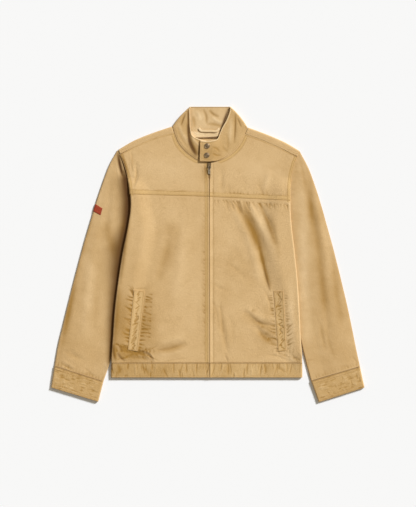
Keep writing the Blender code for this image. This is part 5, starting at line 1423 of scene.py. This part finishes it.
def tabPaint():
    paint = Paint("tab_red", Roughness=0.7, Sheen_Weight=0.1, Specular_IOR_Level=0.3)
    cut = paint.node("ShaderNodeUVMap", {"uv_map": "cut"})
    place = paint.node("ShaderNodeTexCoord", out="Object")
    rib = paint.node("ShaderNodeTexWave", {"wave_type": "BANDS", "bands_direction": "Y"},
                     {"Vector": cut, "Scale": 2 * math.pi / (20 * 0.0006), "Distortion": 0.3})
    patchy = paint.noise(place, 260, 3.0, 0.6)
    colour = paint.mix(patchy * 0.9, linear((182, 72, 30)), linear((138, 46, 24)))
    colour = paint.mix((1 - rib) * 0.25 + paint.attribute("dye"), colour, linear((110, 40, 26)))
    paint.feed(paint.shader.inputs["Base Color"], colour)
    paint.feed(paint.shader.inputs["Normal"], paint.bump(rib, 0.6, 0.0001))
    return paint.material


tabRed = tabPaint()
makeWelts()
makeTab()
print("welts and sleeve tab made")


# ---- zip: tapes and teeth
def tapePaint():
    paint = Paint("zip_tape", Roughness=0.85, Specular_IOR_Level=0.3)
    cut = paint.node("ShaderNodeUVMap", {"uv_map": "cut"})
    rib = paint.node("ShaderNodeTexWave", {"wave_type": "BANDS", "bands_direction": "Y"},
                     {"Vector": cut, "Scale": 2 * math.pi / (20 * 0.0005), "Distortion": 0.4})
    colour = paint.mix(rib, lit((150, 112, 62)), lit((184, 146, 92)))
    paint.feed(paint.shader.inputs["Base Color"], colour)
    paint.feed(paint.shader.inputs["Normal"], paint.bump(rib, 0.6, 0.0001))
    return paint.material


def makeTapes():
    material = tapePaint()
    for side, sign in sides.items():
        y = np.linspace(hem["bottom"] + 0.0005, 0.2440 - 0.0006, 190)
        z = wall + layers["layGap"] - layers["restGap"] - 0.00035
        rows = [stack(zipX(y) + sign * w, y, z) for w in (0.0024, 0.0026, 0.0040, 0.0070, 0.0100, 0.0108, 0.0110)]
        grid = np.array(rows if sign > 0 else rows[::-1])
        piece = gridShell(f"tape_cloth_{side}", grid, 0.0007, material, every=1, rim=0.0003)
        lay(piece, [f"zip_tape_{side}"])


makeTapes()
print("zip tapes made")


# ---- sewing: one stitch, repeated along rows that lie on the cloth
thread = {"length": 0.0026, "pitch": 0.0033, "radius": 0.00036, "sink": 0.30}
stitchShape = np.array([(-0.5, 0, -0.9), (0.5, 0, -0.9)] + [(side * 0.30, *ring) for side in (-1, 1)
                       for ring in ((1, 0), (0, 1), (-1, 0), (0, -1))])
stitchFaces = [(0, 3, 2), (0, 4, 3), (0, 5, 4), (0, 2, 5), (1, 6, 7), (1, 7, 8), (1, 8, 9), (1, 9, 6),
               (2, 3, 7, 6), (3, 4, 8, 7), (4, 5, 9, 8), (5, 2, 6, 9)]


def threadPaint():
    paint = Paint("thread", Roughness=0.7, Sheen_Weight=0.1, Specular_IOR_Level=0.3)
    place = paint.node("ShaderNodeTexCoord", out="Object")
    worn = paint.noise(place, 160, 3.0, 0.6)
    colour = paint.mix(worn * 1.2, lit((232, 200, 148)), lit((196, 156, 96)))
    paint.feed(paint.shader.inputs["Base Color"], colour)
    paint.feed(paint.shader.inputs["Normal"], paint.bump(paint.noise(place, 2400, 1.0), 0.4, 0.0001))
    return paint.material


def treeOf(names):
    points, faces = [], []
    for name in names:
        mesh = bpy.data.objects[name].data
        base = len(points)
        points += [v.co.copy() for v in mesh.vertices]
        faces += [[base + k for k in p.vertices] for p in mesh.polygons]
    return BVHTree.FromPolygons(points, faces)


def onCloth(tree, line):  # a row drawn from above, laid on the cloth
    made = []
    for x, y in line:
        hit = tree.ray_cast(Vector((float(x), float(y), 0.05)), Vector((0, 0, -1)))[0]
        if hit:
            made.append(tuple(hit))
    return np.array(made)


def evenly(line, pitch):  # points at even steps of a line
    run = runOf(line)
    at = np.arange(pitch / 2, run[-1], pitch)
    return np.stack([np.interp(at, run, line[:, k]) for k in range(line.shape[1])], 1)


def sew(name, tree, rows, material):
    points, faces = [], []
    for row in rows:
        if len(row) < 2:
            continue
        spots = evenly(np.array(row), thread["pitch"])
        ways = np.gradient(spots, axis=0)
        for p, way in zip(spots, ways):
            near, normal = tree.find_nearest(Vector(p))[:2]
            if near is None:
                continue
            n, way = np.array(normal), way / np.linalg.norm(way)
            across = np.cross(n, way)
            across /= np.linalg.norm(across)
            ahead = np.cross(across, n)
            shape = stitchShape * [thread["length"], thread["radius"], thread["radius"]]
            base = len(points)
            points += list(np.array(near) + shape[:, :1] * ahead + shape[:, 1:2] * across
                           + (shape[:, 2:] + thread["radius"] * thread["sink"]) * n)
            faces += [[base + k for k in face] for face in stitchFaces]
    mesh = bpy.data.meshes.new(name)
    mesh.from_pydata([tuple(p) for p in points], [], faces)
    mesh.materials.append(material)
    mesh.polygons.foreach_set("use_smooth", np.ones(len(faces), bool))
    mesh.update()
    piece = linked(name, mesh)
    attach(piece, "jacket")


def ringRow(name, down):  # a row that follows the grid of a piece, so far down it, or up from its end
    grid = surfaces[name]
    run = runOf(grid[len(grid) // 4])
    at = down if down >= 0 else run[-1] + down
    return grid[:, int(np.argmin(np.abs(run - at)))]


def makeSewing():
    material = threadPaint()
    for side in sides:
        tree = treeOf([f"front_cloth_{side}", f"yoke_cloth_{side}", f"shoulder_cloth_{side}"])
        rows = [onCloth(tree, evenly(np.array(line, float), 0.003)) for line in bodyStitchLines(side).values()]
        sew(f"front_sewing_{side}", tree, rows, material)
        name = f"cuff_cloth_{side}"
        rings = [ringRow(name, down) for down in (0.0030, 0.0085, -0.0030, -0.0085)]
        rows = [np.concatenate([ring, ring[:1]]) for ring in rings]
        sew(f"cuff_sewing_{side}", treeOf([name]), rows, material)
        name = f"welt_cloth_{side}"
        grid = surfaces[name]
        rows = [grid[3, 3:-3], grid[-4, 3:-3], grid[3:-3, 3], grid[3:-3, -4], grid[3:-3, 5], grid[3:-3, -6]]
        sew(f"welt_sewing_{side}", treeOf([name]), rows, material)
    rows = [ringRow("hem_cloth", -0.0022), ringRow("hem_cloth", 0.0045)]
    sew("hem_sewing", treeOf(["hem_cloth"]), rows, material)
    grid = surfaces["collar_cloth"]
    rows = [grid[4:-4, -5], grid[4:-4, 4], grid[3, 4:-4], grid[-4, 4:-4]]
    sew("collar_sewing", treeOf(["collar_cloth"]), rows, material)
    grid = surfaces["facing_cloth"]
    sew("facing_sewing", treeOf(["facing_cloth"]), [grid[2:-2, 3], grid[2:-2, -4]], material)


makeSewing()
print("sewing made")


# ---- metal: zip teeth, slider, pull and collar snaps
metal = {
    "sliderY": 0.2356, "hingeY": 0.2344, "hingeZ": 0.0098, "tilt": 7.0, "pullLong": 0.0220,
    "toothPitch": 0.0025, "snapRadius": 0.0070, "snaps": {"upper": (-0.0017, 0.2875), "lower": (-0.0025, 0.2629)},
}
metal["sliderX"] = float(zipX(metal["sliderY"]))


def metalPaint(name, dark, bright, rough, shine=0.85):
    paint = Paint(name, Metallic=shine)
    place = paint.node("ShaderNodeTexCoord", out="Object")
    patch_ = paint.noise(place, 420, 4.0, 0.65)
    scratch = paint.noise(place, 1600, 2.0, 0.5)
    colour = paint.mix((patch_ - 0.35) * 2.4, linear(dark), linear(bright))
    paint.feed(paint.shader.inputs["Base Color"], colour)
    paint.feed(paint.shader.inputs["Roughness"], rough + (scratch - 0.5) * 0.25)
    paint.feed(paint.shader.inputs["Normal"], paint.bump(patch_, 0.25, 0.00012))
    return paint.material


def clear():
    bpy.ops.object.select_all(action="DESELECT")


def pick(test):  # selects the faces whose centre and normal pass the test
    mesh = bmesh.from_edit_mesh(bpy.context.object.data)
    bpy.ops.mesh.select_all(action="DESELECT")
    for face in mesh.faces:
        face.select_set(bool(test(face.calc_center_median(), face.normal)))
    bmesh.update_edit_mesh(bpy.context.object.data)


def nudge(x=0.0, y=0.0, z=0.0):
    bpy.ops.transform.translate(value=(x, y, z))


def editing(on):
    bpy.ops.object.mode_set(mode="EDIT" if on else "OBJECT")


def settle(scale=None, place=None, turn=None):  # sets size and place, then writes them into the mesh
    piece = bpy.context.object
    if scale:
        piece.scale = scale
    if place:
        piece.location = place
    if turn:
        piece.rotation_euler = turn
    bpy.ops.object.transform_apply(location=True, rotation=True, scale=True)


def apply(kind, **settings):
    modifier = bpy.context.object.modifiers.new(kind.lower(), kind)
    for key, value in settings.items():
        setattr(modifier, key, value)
    bpy.ops.object.modifier_apply(modifier=modifier.name)


def bevel(width, segments=2, **settings):
    apply("BEVEL", width=width, segments=segments, limit_method="ANGLE", **settings)


def unite(piece, other):  # the other piece goes into the first
    clear()
    piece.select_set(True)
    bpy.context.view_layer.objects.active = piece
    apply("BOOLEAN", operation="UNION", solver="EXACT", object=other)
    bpy.data.objects.remove(other)


def finishMetal(name, material, node, body_):
    piece = bpy.context.object
    piece.name = piece.data.name = name
    bpy.ops.object.shade_smooth_by_angle(angle=math.radians(35))
    piece.data.materials.clear()
    piece.data.materials.append(material)
    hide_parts(node)
    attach(piece, body_)


def makeSnaps(material):
    base = collar["mid"] + collar["tabRise"] + bandWall / 2 + layers["restGap"]
    for which, (x, y) in metal["snaps"].items():
        clear()
        bpy.ops.mesh.primitive_cylinder_add(vertices=48, radius=metal["snapRadius"], depth=0.0014,
                                            location=(x, y, base + 0.0007))
        settle()
        editing(True)
        pick(lambda c, n: n.z > 0.9)
        for inset, up in ((0.0009, 0.0003), (0.0007, -0.0005), (0.0006, 0.0), (0.0005, 0.0004), (0.0016, 0.0002)):
            bpy.ops.mesh.inset(thickness=inset)
            nudge(z=up)
        editing(False)
        bevel(0.0002)
        finishMetal(f"snap_cap_{which}", material, f"snap_{which}", "jacket")


def makeTeeth(material):
    parts = []
    y0, y1, pitch = hem["bottom"] + 0.0010, 0.2428, metal["toothPitch"]
    for sign in sides.values():
        y = y0 + (0 if sign > 0 else pitch / 2)
        clear()
        bpy.ops.mesh.primitive_cube_add(size=1)
        settle((0.0023, 0.00108, 0.0015), (zipX(y) + sign * 0.00055, y, 0.0045))
        editing(True)
        pick(lambda c, n: n.x * sign < -0.9)
        bpy.ops.mesh.inset(thickness=0.0002)
        nudge(x=-sign * 0.0001)
        editing(False)
        bevel(0.00018, 1)
        apply("ARRAY", count=int((y1 - y) / pitch), use_relative_offset=False, use_constant_offset=True,
              constant_offset_displace=(-0.0018 * pitch, pitch, 0))
        parts.append(bpy.context.object)
    for part in parts:
        part.select_set(True)
    bpy.context.view_layer.objects.active = parts[0]
    bpy.ops.object.join()
    finishMetal("zip_teeth", material, "zip_chain", "jacket")


def makeSlider(material):
    x, y, hy = metal["sliderX"], metal["sliderY"], metal["hingeY"]
    clear()
    bpy.ops.mesh.primitive_cube_add(size=1)
    settle((0.0094, 0.0138, 0.0016), (x, y, 0.0072))
    editing(True)
    pick(lambda c, n: n.y < -0.9)
    bpy.ops.transform.resize(value=(0.60, 1, 1), center_override=(x, y - 0.0069, 0.0072))
    bpy.ops.mesh.extrude_region_move(TRANSFORM_OT_translate={"value": (0, -0.0001, 0)})
    pick(lambda c, n: n.z > 0.9)
    bpy.ops.mesh.inset(thickness=0.0010)
    nudge(z=-0.0003)
    bpy.ops.mesh.inset(thickness=0.0008)
    nudge(z=0.0003)
    editing(False)
    bevel(0.00030)
    plate = bpy.context.object
    clear()
    bpy.ops.mesh.primitive_plane_add(size=1)
    settle((0.0022, 0.0011, 1), (x, hy - 0.00285, 0.0088))
    editing(True)
    bpy.ops.mesh.select_all(action="SELECT")
    bpy.ops.mesh.spin(steps=16, angle=-math.pi, center=(x, hy, 0.0088), axis=(1, 0, 0))
    pick(lambda c, n: abs(c.z - 0.0088) < 0.00005 and abs(n.z) > 0.9)
    bpy.ops.mesh.extrude_region_move(TRANSFORM_OT_translate={"value": (0, 0, -0.0013)})
    bpy.ops.mesh.select_all(action="SELECT")
    bpy.ops.mesh.remove_doubles(threshold=0.00001)
    bpy.ops.mesh.normals_make_consistent(inside=False)
    editing(False)
    bevel(0.00022, angle_limit=math.radians(50))
    arch = bpy.context.object
    unite(plate, arch)
    finishMetal("zip_runner", material, "zip_slider", "jacket")


def makePull(material):
    long = metal["pullLong"]
    clear()
    bpy.ops.mesh.primitive_grid_add(x_subdivisions=3, y_subdivisions=8, size=1)
    settle((0.0064, long + 0.0006, 1), (0, -(long - 0.0006) / 2, 0))
    editing(True)
    mesh = bmesh.from_edit_mesh(bpy.context.object.data)
    columns = sorted({round(v.co.x, 6) for v in mesh.verts})
    inner = [c for c in columns if abs(c) < 0.0025]
    bpy.ops.mesh.select_all(action="DESELECT")
    for v in mesh.verts:
        v.select_set(any(abs(v.co.x - c) < 1e-5 for c in inner))
    bpy.ops.transform.resize(value=(0.0017 / abs(inner[0]), 1, 1), center_override=(0, 0, 0))
    pick(lambda c, n: abs(c.x) < 0.001 and c.y > -0.0072)
    bpy.ops.mesh.delete(type="FACE")
    editing(False)
    apply("SOLIDIFY", thickness=0.0012, offset=0)
    editing(True)
    pick(lambda c, n: n.y < -0.9 and c.y < -long + 0.0008)
    bpy.ops.transform.resize(value=(0.72, 1, 1), center_override=(0, -long, 0))
    for up in (1, -1):
        pick(lambda c, n: n.z * up > 0.9 and abs(c.x) < 0.001 and -0.0190 < c.y < -0.0080)
        bpy.ops.mesh.inset(thickness=0.0006)
        nudge(z=-0.00025 * up)
    editing(False)
    bevel(0.00028)
    blade = bpy.context.object
    clear()
    bpy.ops.mesh.primitive_cylinder_add(vertices=24, radius=0.0008, depth=0.0061)
    settle(turn=(0, math.pi / 2, 0))
    bevel(0.00015, 1)
    bar = bpy.context.object
    unite(blade, bar)
    settle(None, (metal["sliderX"], metal["hingeY"], metal["hingeZ"]), (math.radians(metal["tilt"]), 0, 0))
    finishMetal("zip_tab", material, "zip_pull", "zip_pull")


makeSnaps(metalPaint("snap_grey", (116, 96, 70), (186, 160, 126), 0.48))
makeTeeth(metalPaint("teeth_brown", (150, 110, 62), (206, 166, 110), 0.55, 0.15))
makeSlider(metalPaint("slider_brown", (92, 74, 50), (196, 168, 128), 0.42))
makePull(metalPaint("pull_grey", (150, 130, 100), (246, 232, 206), 0.36))
print("metal made")


# ---- the paper it lies on
def makeFloor():
    paint = Paint("floor", Roughness=0.9, Specular_IOR_Level=0.1)
    place = paint.node("ShaderNodeTexCoord", out="Object")
    grain = paint.noise(place, 30, 2.0)
    white = lamp["floor"]
    colour = paint.mix(grain * 0.2, (white, white, white * 0.985, 1), (white * 0.99, white * 0.99, white * 0.98, 1))
    paint.feed(paint.shader.inputs["Base Color"], colour)
    clear()
    bpy.ops.mesh.primitive_plane_add(size=60, location=(0, 0, -0.0002))
    floor = bpy.context.object
    floor.name = "floor"
    editing(True)
    bpy.ops.mesh.subdivide(number_cuts=4)
    editing(False)
    settle()
    floor.data.materials.append(paint.material)


makeFloor()
